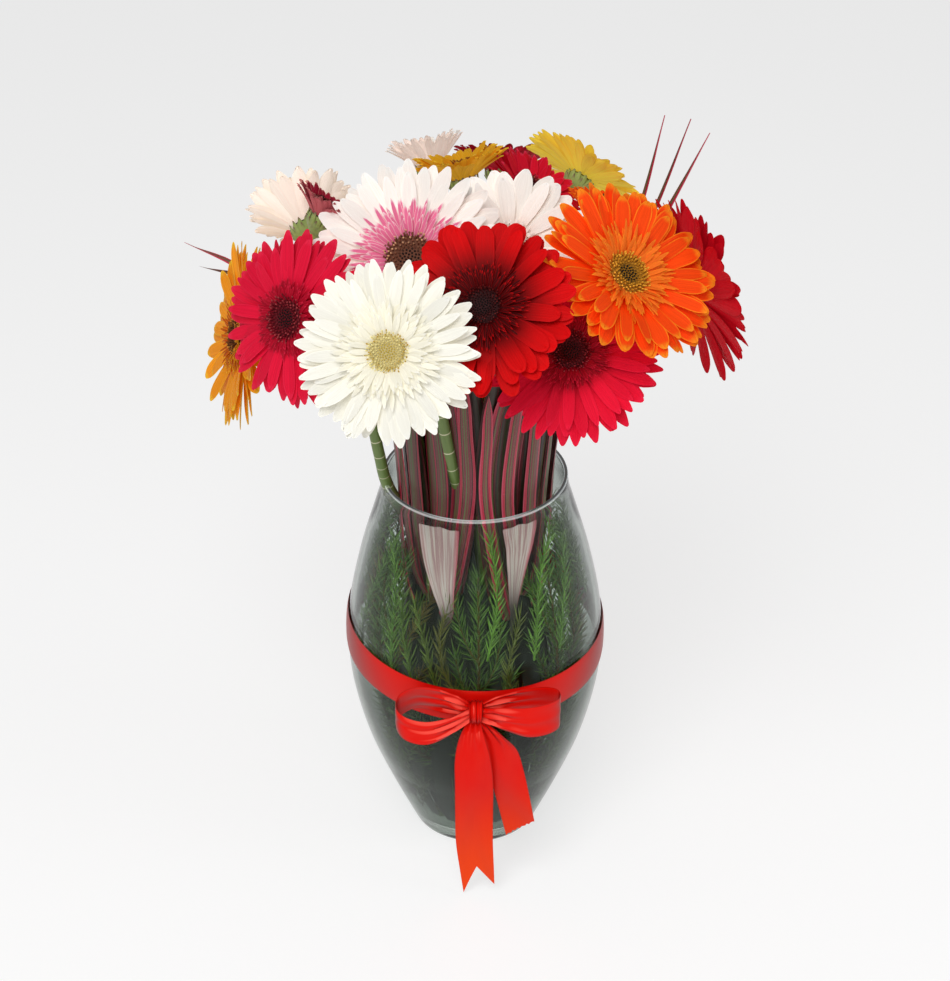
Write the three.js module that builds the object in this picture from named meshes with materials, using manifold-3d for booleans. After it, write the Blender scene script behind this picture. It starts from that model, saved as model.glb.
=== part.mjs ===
// Twenty gerberas in a glass vase tied with a satin ribbon, among long striped leaves and conifer
// sprays. Millimetres, +Z up. The vase's axis is Z and its foot stands on z = 0; -Y is the front.

import * as THREE from "three";
import { mergeVertices } from "three/addons/utils/BufferGeometryUtils.js";
import Module from "manifold-3d";

// Vase: outer radius and height at the points its outline passes through
const VASE_OUTLINE = [
  [44.5, 1.5], [60.5, 40], [75, 80], [84, 120], [86.3, 152],
  [84, 182], [76, 220], [65.5, 256], [61.5, 270], [60.5, 279],
];
const VASE_HEIGHT = 280;
const FOOT_RADIUS = 42.5; // the flat underside
const GLASS_WALL = 3.5;
const GLASS_FLOOR = 10; // thickness of the bottom
const VASE_SEGMENTS = 28;
const VASE_LEVELS = 9; // heights at which the wall is drawn
const WATER_LEVEL = 60;
const HOLE_SIDES = 6;
const HOLE_CORNERS = 1.16; // a six-sided hole's corners stand this far out past its sides

// Clearances
const GAP = 0.3; // between touching pieces
const HOLE_GAP = 1; // round what stands in the water
const BAND_GAP = 0.8; // at the band's edges, as it lies flat across the curved glass

// Ribbon
const RIBBON_WIDTH = 25;
const RIBBON_THICKNESS = 0.8;
const BAND_HEIGHT = 160; // the band's middle
const BAND_DROP = 7; // how far it dips at its lowest side
const BAND_LOW_SIDE = -60; // degrees round the vase
const KNOT = [0, -93.5, 156];
const LOOP_STEPS = 13; // rows of points along a loop of the bow

// Gerberas: centre, facing (degrees right of the front, degrees up), radius over the rays, cup
// (degrees that the rays rise), rays in each of two layers, radius of the disc, colours and the
// group of stems that it belongs to
const HEADS = [
  { name: "white_front", at: [-50, -106, 426], turn: -6, lift: 30, radius: 55, cup: 8, rays: 15,
    disc: 12, colour: 0xf4efe0, eye: 0xb9b34e, bunch: "front_left" },
  { name: "crimson_front", at: [56, -61, 403], turn: 0, lift: 40, radius: 53, cup: 4, rays: 15,
    disc: 12, colour: 0xd3142c, eye: 0x1a0608, bunch: "front_right" },
  { name: "red_centre", at: [8, -80, 438], turn: -16, lift: 44, radius: 57, cup: 10, rays: 15,
    disc: 12, colour: 0xc80410, eye: 0x1a0406, bunch: "front_right" },
  { name: "orange_front", at: [93, -43, 443], turn: 46, lift: 50, radius: 58, cup: 18, rays: 15,
    disc: 14, colour: 0xff5a12, eye: 0x2c2a12, bunch: "front_right" },
  { name: "red_right", at: [137, 10, 408], turn: 115, lift: 10, radius: 58, cup: 10, rays: 15,
    disc: 12, colour: 0xb00414, eye: 0x1a0406, bunch: "right" },
  { name: "white_pink", at: [-43, -16, 441], turn: -5, lift: 38, radius: 63, cup: 10, rays: 15,
    disc: 16, colour: 0xf6ece8, eye: 0x4a2a1c, bunch: "front_left" },
  { name: "crimson_left", at: [-112, -48, 417], turn: -38, lift: 25, radius: 55, cup: -4, rays: 15,
    disc: 13, colour: 0xd61838, eye: 0x20060a, bunch: "front_left" },
  { name: "gold_left", at: [-150, 24, 367], turn: -74, lift: 14, radius: 62, cup: 10, rays: 15,
    disc: 12, colour: 0xf08c14, eye: 0x54280a, bunch: "left" },
  { name: "white_middle", at: [22, 8, 440], turn: 5, lift: 45, radius: 50, cup: 10, rays: 14,
    disc: 12, colour: 0xf4ece4, eye: 0x4a2a1c, bunch: "right" },
  { name: "cream_back_left", at: [-108, 54, 432], turn: -165, lift: 25, radius: 43, cup: 42, rays: 14,
    disc: 12, colour: 0xeadfcc, eye: 0x54182a, bunch: "left" },
  { name: "dark_red_left", at: [-92, 22, 452], turn: 120, lift: 55, radius: 26, cup: 40, rays: 12,
    disc: 10, colour: 0x8c1428, eye: 0x1a0406, bunch: "left" },
  { name: "white_back", at: [-31, 125, 439], turn: -154, lift: 60, radius: 31, cup: 51, rays: 12,
    disc: 11, colour: 0xf0e4d8, eye: 0xa8a050, bunch: "back_left" },
  { name: "gold_top", at: [-9, 66, 462], turn: 215, lift: 70, radius: 35, cup: 35, rays: 12,
    disc: 11, colour: 0xe8a020, eye: 0x4a200c, bunch: "back_right" },
  { name: "dark_red_back", at: [17, 144, 432], turn: 178, lift: 62, radius: 36, cup: 35, rays: 12,
    disc: 11, colour: 0x8c0c20, eye: 0x1a0406, bunch: "back_right" },
  { name: "crimson_top", at: [37, 62, 448], turn: 75, lift: 58, radius: 37, cup: 27, rays: 12,
    disc: 11, colour: 0xc81430, eye: 0x1a0406, bunch: "right" },
  { name: "orange_top", at: [80, 46, 445], turn: 138, lift: 72, radius: 28, cup: 42, rays: 12,
    disc: 11, colour: 0xf4500e, eye: 0x2c1a0a, bunch: "right" },
  { name: "yellow_back", at: [71, 105, 443], turn: 140, lift: 36, radius: 44, cup: 12, rays: 14,
    disc: 12, colour: 0xe0b82c, eye: 0x6a4a10, bunch: "right" },
  { name: "gold_back_left", at: [-55, 89, 418], turn: -150, lift: 60, radius: 30, cup: 12, rays: 12,
    disc: 11, colour: 0xd89a24, eye: 0x4a200c, bunch: "back_left" },
  { name: "crimson_low_back", at: [-54, 126, 372], turn: -160, lift: 5, radius: 44, cup: 8, rays: 12,
    disc: 12, colour: 0xcc1630, eye: 0x1a0406, bunch: "back_left" },
  { name: "orange_low_back", at: [50, 126, 368], turn: 160, lift: 5, radius: 44, cup: 8, rays: 12,
    disc: 12, colour: 0xf8600f, eye: 0x2c1a0a, bunch: "back_right" },
];
const CORE_RINGS = [[8, -5], [11, -2], [9, 0]]; // radius and height of the receptacle's rings
const RAY_KEEL = 1.3; // thickness of a ray along its middle
const RAY_SHOULDER = 0.62; // where a ray is widest, over its length
const RAY_TIP = 0.9; // where its rounded tip begins
const RAY_FULLNESS = 0.96; // its greatest width over the room that it has
const INNER_LAYER = 0.84; // length of the inner rays over that of the outer ones
const INNER_RISE = 11; // degrees that the inner rays stand up from the outer ones
const RAY_VARIETY = 0.09; // how much shorter some rays are
const EYE_SHARE = 0.5; // radius of the eye over the disc's
const FLORETS_PER_RAY = 0.62;
const STEM_RADIUS = 2.7;
const STEM_SIDES = 5;
const STEM_BENDS = 3; // straight pieces in its curve
const NECK_HEIGHT = 292; // where a stem leaves its straight part
const NECK_SHARE = 0.235; // a stem's distance from the axis there, over its head's
const FEET = { // foot of each group of stems
  front_left: [-13, -15],
  front_right: [13, -17],
  left: [-21, 5],
  right: [19, 4],
  back_left: [-8, 20],
  back_right: [10, 21],
};
const FOOT_SPREAD = 3.6; // between the feet of a group, so that they lean together
const CUP_DEPTH = 18; // from the ring of rays back to where the green cup meets the stem

// Striped leaves
const SHOOTS = [-135, -45, 45, 135]; // degrees round the vase
const CANE_RADIUS = 4.5;
const CANE_FOOT = 31; // distance from the axis at the foot and at the top
const CANE_TOP = 40;
const CANE_HEIGHT = 222;
const LEAVES_PER_SHOOT = 9;
const LEAF_BASE = 211; // height at which a shoot's middle leaf leaves the cane
const LEAF_LAYERS = [50, 43.5]; // distance from the axis where the leaves pass the rim
const LEAF_BEND = 286; // height there
const LEAF_TOPS = [333, 334, 322, 322]; // least height of each shoot's leaf tips
const LEAF_TOP_SPREAD = 32;
const LEAF_STEP = 9.5; // degrees between leaves at the rim
const LEAF_WIDTH = 9;
const LEAF_KEEL = 1.1;
// Leaves that reach past the flowers: shoot, then the points that each passes through
const LONG_LEAVES = [
  [2, [[50, 20, 285], [80, 40, 355], [104, 57, 438], [118, 62, 501]]],
  [2, [[46, 28, 285], [80, 48, 350], [114, 62, 436], [135, 68, 496]]],
  [2, [[41, 35, 285], [82, 56, 350], [121, 67, 430], [148, 74, 484]]],
  [3, [[-47, 28, 285], [-84, 54, 335], [-148, 84, 380], [-190, 86, 402]]],
  [3, [[-42, 34, 285], [-80, 62, 335], [-142, 92, 368], [-183, 92, 382]]],
];
const LONG_LEAF_WIDTHS = [5, 6, 5, 3.5];
// Broad pale sheaths behind the glass: shoot, then radius, degrees, height and width at points
const SHEATHS = [
  [0, [[50, -124, 172, 6], [68, -115, 212, 14], [64.5, -114, 238, 22], [55.5, -112, 274, 22],
    [52, -109, 305, 9], [56, -108, 342, 0]]],
  [1, [[50, -56, 172, 6], [68, -66, 212, 12], [64.5, -66.5, 238, 19], [55.5, -64, 274, 19],
    [52, -64, 305, 9], [55, -64, 338, 0]]],
];

// Conifer sprays
// The stalks of each spray, in degrees round the vase
const SPRAYS = [[-140, -88, -40], [-20, 5, 32], [61, 90, 119], [148, 175, 202]];
const STOCK_RADIUS = 2.2; // the bare stock in the water
const STALK_RADIUS = 1.6;
const STALK_RINGS = 15; // each ring carries three needles
const NEEDLE_LENGTH = 17;
const NEEDLE_LEAN = 36; // degrees off the stalk
const NEEDLE_CLEARANCE = 1.5; // from the glass

const rad = THREE.MathUtils.degToRad;
const V = (x, y, z) => new THREE.Vector3(x, y, z);
const wasm = await Module();
wasm.setup();

// A number from 0 to 1 that is always the same for the same n
function draw(n) {
  const s = Math.sin(n * 12.9898) * 43758.5453;
  return s - Math.floor(s);
}

// A point given round the vase: radius, degrees and height
function round(radius, degrees, height) {
  return V(radius * Math.cos(rad(degrees)), radius * Math.sin(rad(degrees)), height);
}

// Solids

// A closed solid from points and triangles of indices
function solidOf(points, triangles) {
  return new wasm.Manifold(new wasm.Mesh({
    numProp: 3,
    vertProperties: new Float32Array(points.flatMap((p) => [p.x, p.y, p.z])),
    triVerts: new Uint32Array(triangles.flat()),
  }));
}

// A closed solid from a three.js geometry
function solidFrom(geometry) {
  geometry.deleteAttribute("normal");
  geometry.deleteAttribute("uv");
  const merged = mergeVertices(geometry, 1e-4);
  const index = merged.index.array;
  const triangles = [];
  for (let i = 0; i < index.length; i += 3) {
    const [a, b, c] = index.subarray(i, i + 3);
    if (a !== b && b !== c && c !== a) triangles.push([a, b, c]);
  }
  const at = merged.getAttribute("position");
  const points = Array.from({ length: at.count }, (_, i) => V().fromBufferAttribute(at, i));
  return solidOf(points, triangles);
}

// The same solid as a geometry that a mesh can show
function geometryOf(solid) {
  const { vertProperties, triVerts } = solid.getMesh();
  const geometry = new THREE.BufferGeometry();
  geometry.setAttribute("position", new THREE.BufferAttribute(new Float32Array(vertProperties), 3));
  geometry.setIndex(new THREE.BufferAttribute(new Uint32Array(triVerts), 1));
  geometry.computeVertexNormals();
  return geometry;
}

function joined(solids) {
  return solids.reduce((a, b) => a.add(b));
}

function named(name, solid, colour, roughness, opacity = 1) {
  const material = new THREE.MeshStandardMaterial({
    color: colour, roughness, metalness: 0, flatShading: true, opacity, transparent: opacity < 1,
  });
  const mesh = new THREE.Mesh(geometryOf(solid), material);
  mesh.name = name;
  return mesh;
}

// A solid through rings with the same number of points, each ring running anticlockwise as seen
// from the far end; a last ring of one point closes it in a tip
function loft(rings) {
  const n = rings[0].length;
  const points = rings.flat();
  const triangles = [];
  rings.slice(1).forEach((ring, r) => {
    const low = r * n, high = low + n;
    for (let i = 0; i < n; i++) {
      const j = (i + 1) % n;
      if (ring.length === 1) triangles.push([low + i, low + j, high]);
      else triangles.push([low + i, low + j, high + j], [low + i, high + j, high + i]);
    }
  });
  const last = (rings.length - 1) * n;
  for (let i = 1; i < n - 1; i++) {
    triangles.push([0, i + 1, i]);
    if (rings.at(-1).length > 1) triangles.push([last, last + i, last + i + 1]);
  }
  return solidOf(points, triangles);
}

// A round bar through points, with its radius at each
function bar(points, radii, sides) {
  const ways = points.map((p, i) => {
    const next = points[Math.min(i + 1, points.length - 1)];
    return next.clone().sub(points[Math.max(i - 1, 0)]).normalize();
  });
  let side = V(1, 0, 0).projectOnPlane(ways[0]).normalize();
  return loft(points.map((p, i) => {
    side = side.projectOnPlane(ways[i]).normalize();
    const other = ways[i].clone().cross(side);
    return Array.from({ length: sides }, (_, k) => {
      const a = (2 * Math.PI * k) / sides;
      return p.clone().addScaledVector(side, radii[i] * Math.cos(a))
        .addScaledVector(other, radii[i] * Math.sin(a));
    });
  }));
}

// A narrow leaf with a keel: middle points, width at each and the way that the keel faces. It
// ends in a point.
function blade(middle, widths, keelWay, keel) {
  const tip = middle.length - 1;
  return loft(middle.map((p, i) => {
    if (i === tip) return [p];
    const along = middle[i + 1].clone().sub(middle[Math.max(i - 1, 0)]).normalize();
    const out = keelWay(p).projectOnPlane(along).normalize();
    const across = out.clone().cross(along).multiplyScalar(widths[i] / 2);
    return [p.clone().add(across), p.clone().sub(across), p.clone().addScaledVector(out, -keel)];
  }));
}

// A thin strip of cloth: rows of points, left to right, thickened to one side
function strip(rows, thickness) {
  const across = rows[0].length, count = rows.length;
  const under = rows.map((row, r) => row.map((p, c) => {
    const down = rows[Math.min(r + 1, count - 1)][c].clone().sub(rows[Math.max(r - 1, 0)][c]);
    const over = row[Math.min(c + 1, across - 1)].clone().sub(row[Math.max(c - 1, 0)]);
    return p.clone().addScaledVector(down.cross(over).normalize(), -thickness);
  }));
  const points = [...rows.flat(), ...under.flat()];
  const below = count * across;
  const at = (r, c) => r * across + c;
  const triangles = [];
  const wall = (a, b) => triangles.push([a, b, b + below], [a, b + below, a + below]);
  for (let r = 0; r < count - 1; r++) {
    for (let c = 0; c < across - 1; c++) {
      const [a, b, d, e] = [at(r, c), at(r, c + 1), at(r + 1, c), at(r + 1, c + 1)];
      triangles.push([a, d, e], [a, e, b]);
      triangles.push([a + below, e + below, d + below], [a + below, b + below, e + below]);
    }
    wall(at(r + 1, 0), at(r, 0));
    wall(at(r, across - 1), at(r + 1, across - 1));
  }
  for (let c = 0; c < across - 1; c++) {
    wall(at(0, c), at(0, c + 1));
    wall(at(count - 1, c + 1), at(count - 1, c));
  }
  return solidOf(points, triangles);
}

// Vase and water

const outline = new THREE.SplineCurve(VASE_OUTLINE.map(([r, z]) => new THREE.Vector2(r, z)));
const outlineSamples = outline.getPoints(120);

function outerRadius(z) {
  const i = Math.max(1, outlineSamples.findIndex((p) => p.y >= z));
  const [a, b] = [outlineSamples[i - 1], outlineSamples[i]];
  return THREE.MathUtils.mapLinear(z, a.y, b.y, a.x, b.x);
}

function innerRadius(z) {
  return outerRadius(z) - GLASS_WALL;
}

function evenly(from, to, count) {
  return Array.from({ length: count }, (_, i) => from + ((to - from) * i) / (count - 1));
}

function lathe(profile) {
  return solidFrom(new THREE.LatheGeometry(
    profile.map(([r, z]) => new THREE.Vector2(r, z)), VASE_SEGMENTS,
  ).rotateX(Math.PI / 2));
}

function vase() {
  const rim = VASE_OUTLINE.at(-1)[1];
  const outside = evenly(VASE_OUTLINE[0][1], rim, VASE_LEVELS).map((z) => [outerRadius(z), z]);
  const inside = evenly(rim, GLASS_FLOOR + 4, VASE_LEVELS - 1).map((z) => [innerRadius(z), z]);
  const lip = [outerRadius(rim) - GLASS_WALL / 2, VASE_HEIGHT];
  const corner = [innerRadius(GLASS_FLOOR + 4) - 5, GLASS_FLOOR];
  return lathe([[0, 0], [FOOT_RADIUS, 0], ...outside, lip, ...inside, corner, [0, GLASS_FLOOR]]);
}

// A plain round hole from under the water to above it, wide enough for rods that lean together,
// each given by two points of its straight foot and its radius
function hole(rods) {
  const centres = [], radii = [];
  for (const z of [GLASS_FLOOR - 2, WATER_LEVEL + 2]) {
    const crossings = rods.map(([foot, next]) => {
      return foot.clone().lerp(next, (z - foot.z) / (next.z - foot.z));
    });
    const centre = crossings.reduce((sum, p) => sum.add(p), V(0, 0, 0)).divideScalar(rods.length);
    const reach = Math.max(...crossings.map((p, i) => p.distanceTo(centre) + rods[i][2]));
    centres.push(centre);
    radii.push(reach * HOLE_CORNERS + HOLE_GAP);
  }
  return bar(centres, radii, HOLE_SIDES);
}

function water(bunches) {
  const floor = GLASS_FLOOR + GAP;
  const wall = evenly(GLASS_FLOOR + 5, WATER_LEVEL, 4).map((z) => [innerRadius(z) - 2 * GAP, z]);
  const corner = [innerRadius(GLASS_FLOOR + 4) - 6, floor];
  const body = lathe([[0, floor], corner, ...wall, [0, WATER_LEVEL]]);
  return bunches.reduce((left, rods) => left.subtract(hole(rods)), body);
}

// Ribbon

function bandHeight(degrees) {
  return BAND_HEIGHT - BAND_DROP * Math.cos(rad(degrees - BAND_LOW_SIDE));
}

function ribbonBand() {
  const points = [], triangles = [];
  for (let i = 0; i < VASE_SEGMENTS; i++) {
    const degrees = (360 * i) / VASE_SEGMENTS;
    const middle = bandHeight(degrees);
    const [low, high] = [middle - RIBBON_WIDTH / 2, middle + RIBBON_WIDTH / 2];
    const outer = BAND_GAP + RIBBON_THICKNESS;
    for (const [z, out] of [[low, BAND_GAP], [low, outer], [high, outer], [high, BAND_GAP]])
      points.push(round(outerRadius(z) + out, degrees, z));
    const next = 4 * ((i + 1) % VASE_SEGMENTS);
    for (let k = 0; k < 4; k++) {
      const [a, b] = [4 * i + k, 4 * i + ((k + 1) % 4)];
      const [c, d] = [next + k, next + ((k + 1) % 4)];
      triangles.push([a, c, d], [a, d, b]);
    }
  }
  return solidOf(points, triangles);
}

// A length of ribbon along a route of places [x, y, z, width, lean], where lean is how far, in
// degrees, its top edge tips towards the front
function ribbonAlong(route) {
  const places = route.map(([x, y, z]) => V(x, y, z));
  const curve = new THREE.CatmullRomCurve3(places, false, "centripetal");
  const rows = evenly(0, 1, LOOP_STEPS).map((t) => {
    const s = t * (route.length - 1), i = Math.min(Math.floor(s), route.length - 2);
    const [width, lean] = [3, 4].map((k) => THREE.MathUtils.lerp(route[i][k], route[i + 1][k], s - i));
    const up = V(0, -Math.sin(rad(lean)), Math.cos(rad(lean))).multiplyScalar(width / 2);
    const p = curve.getPoint(t);
    return [p.clone().add(up), p, p.clone().sub(up)];
  });
  return strip(rows, RIBBON_THICKNESS);
}

function ribbonBow() {
  const [x, y, z] = KNOT;
  const knot = bar(
    [V(x, y, z - 8), V(x, y, z - 5), V(x, y - 1, z), V(x, y, z + 5), V(x, y, z + 8)],
    [4, 6, 6.5, 6, 4], 7,
  );
  const left = ribbonAlong([
    [-2, -94, 158, 11, 0], [-20, -93, 163, 22, 10], [-38, -87, 162, 25, 20], [-52, -88, 153, 22, 15],
    [-48, -99, 146, 17, 10], [-30, -104, 144, 17, 0], [-14, -100, 150, 14, 0], [-2, -95, 156, 10, 0],
  ]);
  const right = ribbonAlong([
    [2, -95, 156, 10, 0], [16, -102, 156, 17, 0], [34, -104, 156, 24, 0], [52, -96, 155, 25, 0],
    [57, -88, 157, 25, 5], [46, -87, 160, 24, 8], [22, -93, 161, 20, 5], [2, -94, 158, 11, 0],
  ]);
  return joined([knot, left, right]);
}

// A hanging tail: rows [x, y, z, width, slant of the row], with its end cut to three last points
function ribbonTail(rows, cut) {
  const across = rows.map(([x, y, z, width, slant = 0]) => {
    const half = V(width / 2, 0, slant);
    return [V(x, y, z).sub(half), V(x, y, z), V(x, y, z).add(half)];
  });
  return strip([...across, cut.map((p) => V(...p))], RIBBON_THICKNESS);
}

function tailLeft() {
  return ribbonTail([
    [-1.5, -97, 145, 8], [-2, -100, 134, 18], [-1, -101, 116, 24], [0.5, -100, 96, 25.5],
    [1.5, -98, 72, 25.5], [1.5, -97, 46, 25.5],
  ], [[-8, -97, 5], [1.5, -97, 22], [13.5, -96.5, 8.5]]);
}

function tailRight() {
  return ribbonTail([
    [5.5, -95.5, 146, 5], [10, -95, 136, 14, 1], [17, -94, 120, 20, 2], [23.5, -93, 100, 23, 3],
    [28, -91, 82, 24, 4],
  ], [[22, -90, 49], [31, -89, 58], [43.5, -88, 64]]);
}

// Gerberas

// The rays, in two staggered layers. Three rings of points round the receptacle make triangles
// that point up and down, and a ray grows from each that points down. The centre of the flower is
// the origin and it faces +Z.
function rays(head, index) {
  const n = head.rays, step = (2 * Math.PI) / n;
  const points = CORE_RINGS.flatMap(([radius, z], ring) => Array.from({ length: n }, (_, i) => {
    const a = (i + (ring === 1 ? 0 : 0.5)) * step;
    return V(radius * Math.cos(a), radius * Math.sin(a), z);
  }));
  const triangles = [];
  const grow = (root, turn, length, cup) => {
    const start = points[root[0]].clone().add(points[root[2]]).divideScalar(2);
    const from = Math.hypot(start.x, start.y);
    const place = (r, across, drop) => {
      const z = start.z + (r - from) * Math.tan(rad(cup)) - drop;
      return V(r, across, z).applyAxisAngle(V(0, 0, 1), turn);
    };
    const shoulder = RAY_SHOULDER * length, shoulderHalf = shoulder * Math.tan(step / 2) * RAY_FULLNESS;
    const end = RAY_TIP * length, endHalf = 0.78 * shoulderHalf;
    const sections = [
      [place(shoulder, -shoulderHalf, 0), place(shoulder, 0, RAY_KEEL), place(shoulder, shoulderHalf, 0)],
      [place(end, -endHalf, 0.3), place(length, 0, 0.9), place(end, endHalf, 0.3)],
    ];
    let last = root;
    for (const section of sections) {
      const first = points.length;
      points.push(...section);
      const next = [first, first + 1, first + 2];
      for (let k = 0; k < 3; k++) {
        const m = (k + 1) % 3;
        triangles.push([last[k], last[m], next[m]], [last[k], next[m], next[k]]);
      }
      last = next;
    }
    triangles.push(last);
  };
  for (let i = 0; i < n; i++) {
    const j = (i + 1) % n;
    const [low, mid, top] = [i, n + i, 2 * n + i];
    const [lowNext, midNext, topNext] = [j, n + j, 2 * n + j];
    const length = (k) => head.radius * (1 - RAY_VARIETY * draw(97 * index + 2 * i + k));
    grow([mid, low, midNext], (i + 0.5) * step, length(0), head.cup);
    grow([top, midNext, topNext], (i + 1) * step, INNER_LAYER * length(1), head.cup + INNER_RISE);
    triangles.push([midNext, low, lowNext], [top, mid, midNext]);
    if (i > 0 && i < n - 1) triangles.push([0, j, i], [2 * n, top, topNext]);
  }
  return solidOf(points, triangles);
}

// The disc: a low eye inside a crown of short pointed florets
function disc(head) {
  const n = Math.round(head.rays * FLORETS_PER_RAY), step = (2 * Math.PI) / n;
  const [, , [seat]] = CORE_RINGS;
  const lift = 1.8 + Math.max(0, head.disc - seat) * Math.tan(rad(head.cup + INNER_RISE));
  const points = [
    [seat - 1.5, 0.5, GAP], [head.disc, 0, lift + 1.2],
    [0.72 * head.disc, 0.5, lift], [EYE_SHARE * head.disc, 0.5, lift + 1.6],
  ].flatMap(([radius, half, z]) => Array.from({ length: n }, (_, i) => {
    return V(radius * Math.cos((i + half) * step), radius * Math.sin((i + half) * step), z);
  }));
  const middle = points.push(V(0, 0, lift + 0.6)) - 1;
  const triangles = [];
  for (let i = 0; i < n; i++) {
    const j = (i + 1) % n;
    const [valley, valleyNext, brow, browNext] = [2 * n + i, 2 * n + j, 3 * n + i, 3 * n + j];
    const tip = n + j;
    triangles.push([i, j, tip], [i, tip, valley], [j, valleyNext, tip]);
    triangles.push([valley, tip, brow], [tip, browNext, brow], [tip, valleyNext, browNext]);
    triangles.push([brow, browNext, middle]);
    if (i > 0 && i < n - 1) triangles.push([0, j, i]);
  }
  return solidOf(points, triangles);
}

// The way that a head looks
function facing(head) {
  const [turn, lift] = [rad(head.turn), rad(head.lift)];
  return V(Math.sin(turn) * Math.cos(lift), -Math.cos(turn) * Math.cos(lift), Math.sin(lift));
}

// Foot and neck of a head's stem: straight between them
function stemEnds(head) {
  const bunch = HEADS.filter((h) => h.bunch === head.bunch);
  const k = bunch.indexOf(head) / bunch.length;
  const [x, y] = FEET[head.bunch];
  const foot = V(x, y, GLASS_FLOOR + 2.5).add(round(FOOT_SPREAD / 2, 360 * k, 0));
  const neck = V(head.at[0] * NECK_SHARE, head.at[1] * NECK_SHARE, NECK_HEIGHT);
  return [foot, neck];
}

// A stem and the green cup under its flower
function stem(head) {
  const [foot, neck] = stemEnds(head);
  const centre = V(...head.at), way = facing(head);
  const back = (d) => centre.clone().addScaledVector(way, -d);
  const start = neck.clone().sub(foot).normalize();
  const reach = centre.distanceTo(neck);
  const bend = new THREE.CubicBezierCurve3(
    neck, neck.clone().addScaledVector(start, 0.5 * reach),
    back(CUP_DEPTH + 0.3 * reach), back(CUP_DEPTH),
  );
  const points = [foot, ...bend.getPoints(STEM_BENDS), back(11), back(5 + GAP)];
  const radii = points.map(() => STEM_RADIUS);
  radii.splice(-3, 3, 3.4, 8.5, 9);
  return bar(points, radii, STEM_SIDES);
}

// Striped leaves

function caneEnds(degrees) {
  return [round(CANE_FOOT, degrees, GLASS_FLOOR + 3), round(CANE_TOP, degrees, CANE_HEIGHT)];
}

const inward = (p) => V(-p.x, -p.y, 0);

function shoot(number) {
  const degrees = SHOOTS[number];
  const [foot, top] = caneEnds(degrees);
  const onCane = (z) => foot.clone().lerp(top, (z - foot.z) / (top.z - foot.z));
  const leaves = [];
  for (let i = 0; i < LEAVES_PER_SHOOT; i++) {
    const k = i - (LEAVES_PER_SHOOT - 1) / 2;
    const away = degrees + k * LEAF_STEP;
    const radius = LEAF_LAYERS[i % 2];
    const base = LEAF_BASE - 9 * Math.abs(k) - 4 * draw(number * 31 + i);
    const tip = LEAF_TOPS[number] + LEAF_TOP_SPREAD * draw(number * 17 + i + 5);
    const middle = [
      onCane(base),
      round(radius - 2, degrees + 0.62 * (away - degrees), base + 34),
      round(radius, away, LEAF_BEND),
      round(radius + 5, away, (LEAF_BEND + tip) / 2 + 8),
      round(radius + 9, away, tip),
    ];
    const widths = [5, LEAF_WIDTH - 1, LEAF_WIDTH, LEAF_WIDTH - 2];
    leaves.push(blade(middle, widths, inward, LEAF_KEEL));
  }
  for (const [, route] of LONG_LEAVES.filter(([owner]) => owner === number)) {
    const middle = [onCane(187), ...route.map((p) => V(...p))];
    leaves.push(blade(middle, LONG_LEAF_WIDTHS, inward, LEAF_KEEL));
  }
  for (const [, places] of SHEATHS.filter(([owner]) => owner === number)) {
    const middle = [onCane(150), ...places.map(([r, turn, z]) => round(r, turn, z))];
    leaves.push(blade(middle, [5, ...places.map((place) => place[3])], inward, LEAF_KEEL));
  }
  return joined([bar([foot, top], [CANE_RADIUS, CANE_RADIUS * 0.8], 6), ...leaves]);
}

// Conifer sprays

// The bare stock that stands in the water, which three stalks grow from
function sprayStock(stalks) {
  return [round(35, stalks[1], GLASS_FLOOR + 3), round(42, stalks[1], WATER_LEVEL + 4)];
}

// A stalk's curve up the inside of the glass
function stalkCurve(stalks, degrees) {
  const hugging = (z, inset, share) => {
    return round(innerRadius(z) - inset, stalks[1] + (degrees - stalks[1]) * share, z);
  };
  return new THREE.CatmullRomCurve3([
    sprayStock(stalks)[1], hugging(84, 13, 0.8), hugging(126, 12, 1), hugging(180, 12, 1),
    hugging(236, 9.5, 1),
  ], false, "centripetal");
}

// The tip of a needle, which is shorter where the glass is near
function needleTip(root, way) {
  let length = NEEDLE_LENGTH;
  const tip = () => root.clone().addScaledVector(way, length);
  while (Math.hypot(tip().x, tip().y) > innerRadius(tip().z) - NEEDLE_CLEARANCE) length -= 0.5;
  return tip();
}

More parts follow.
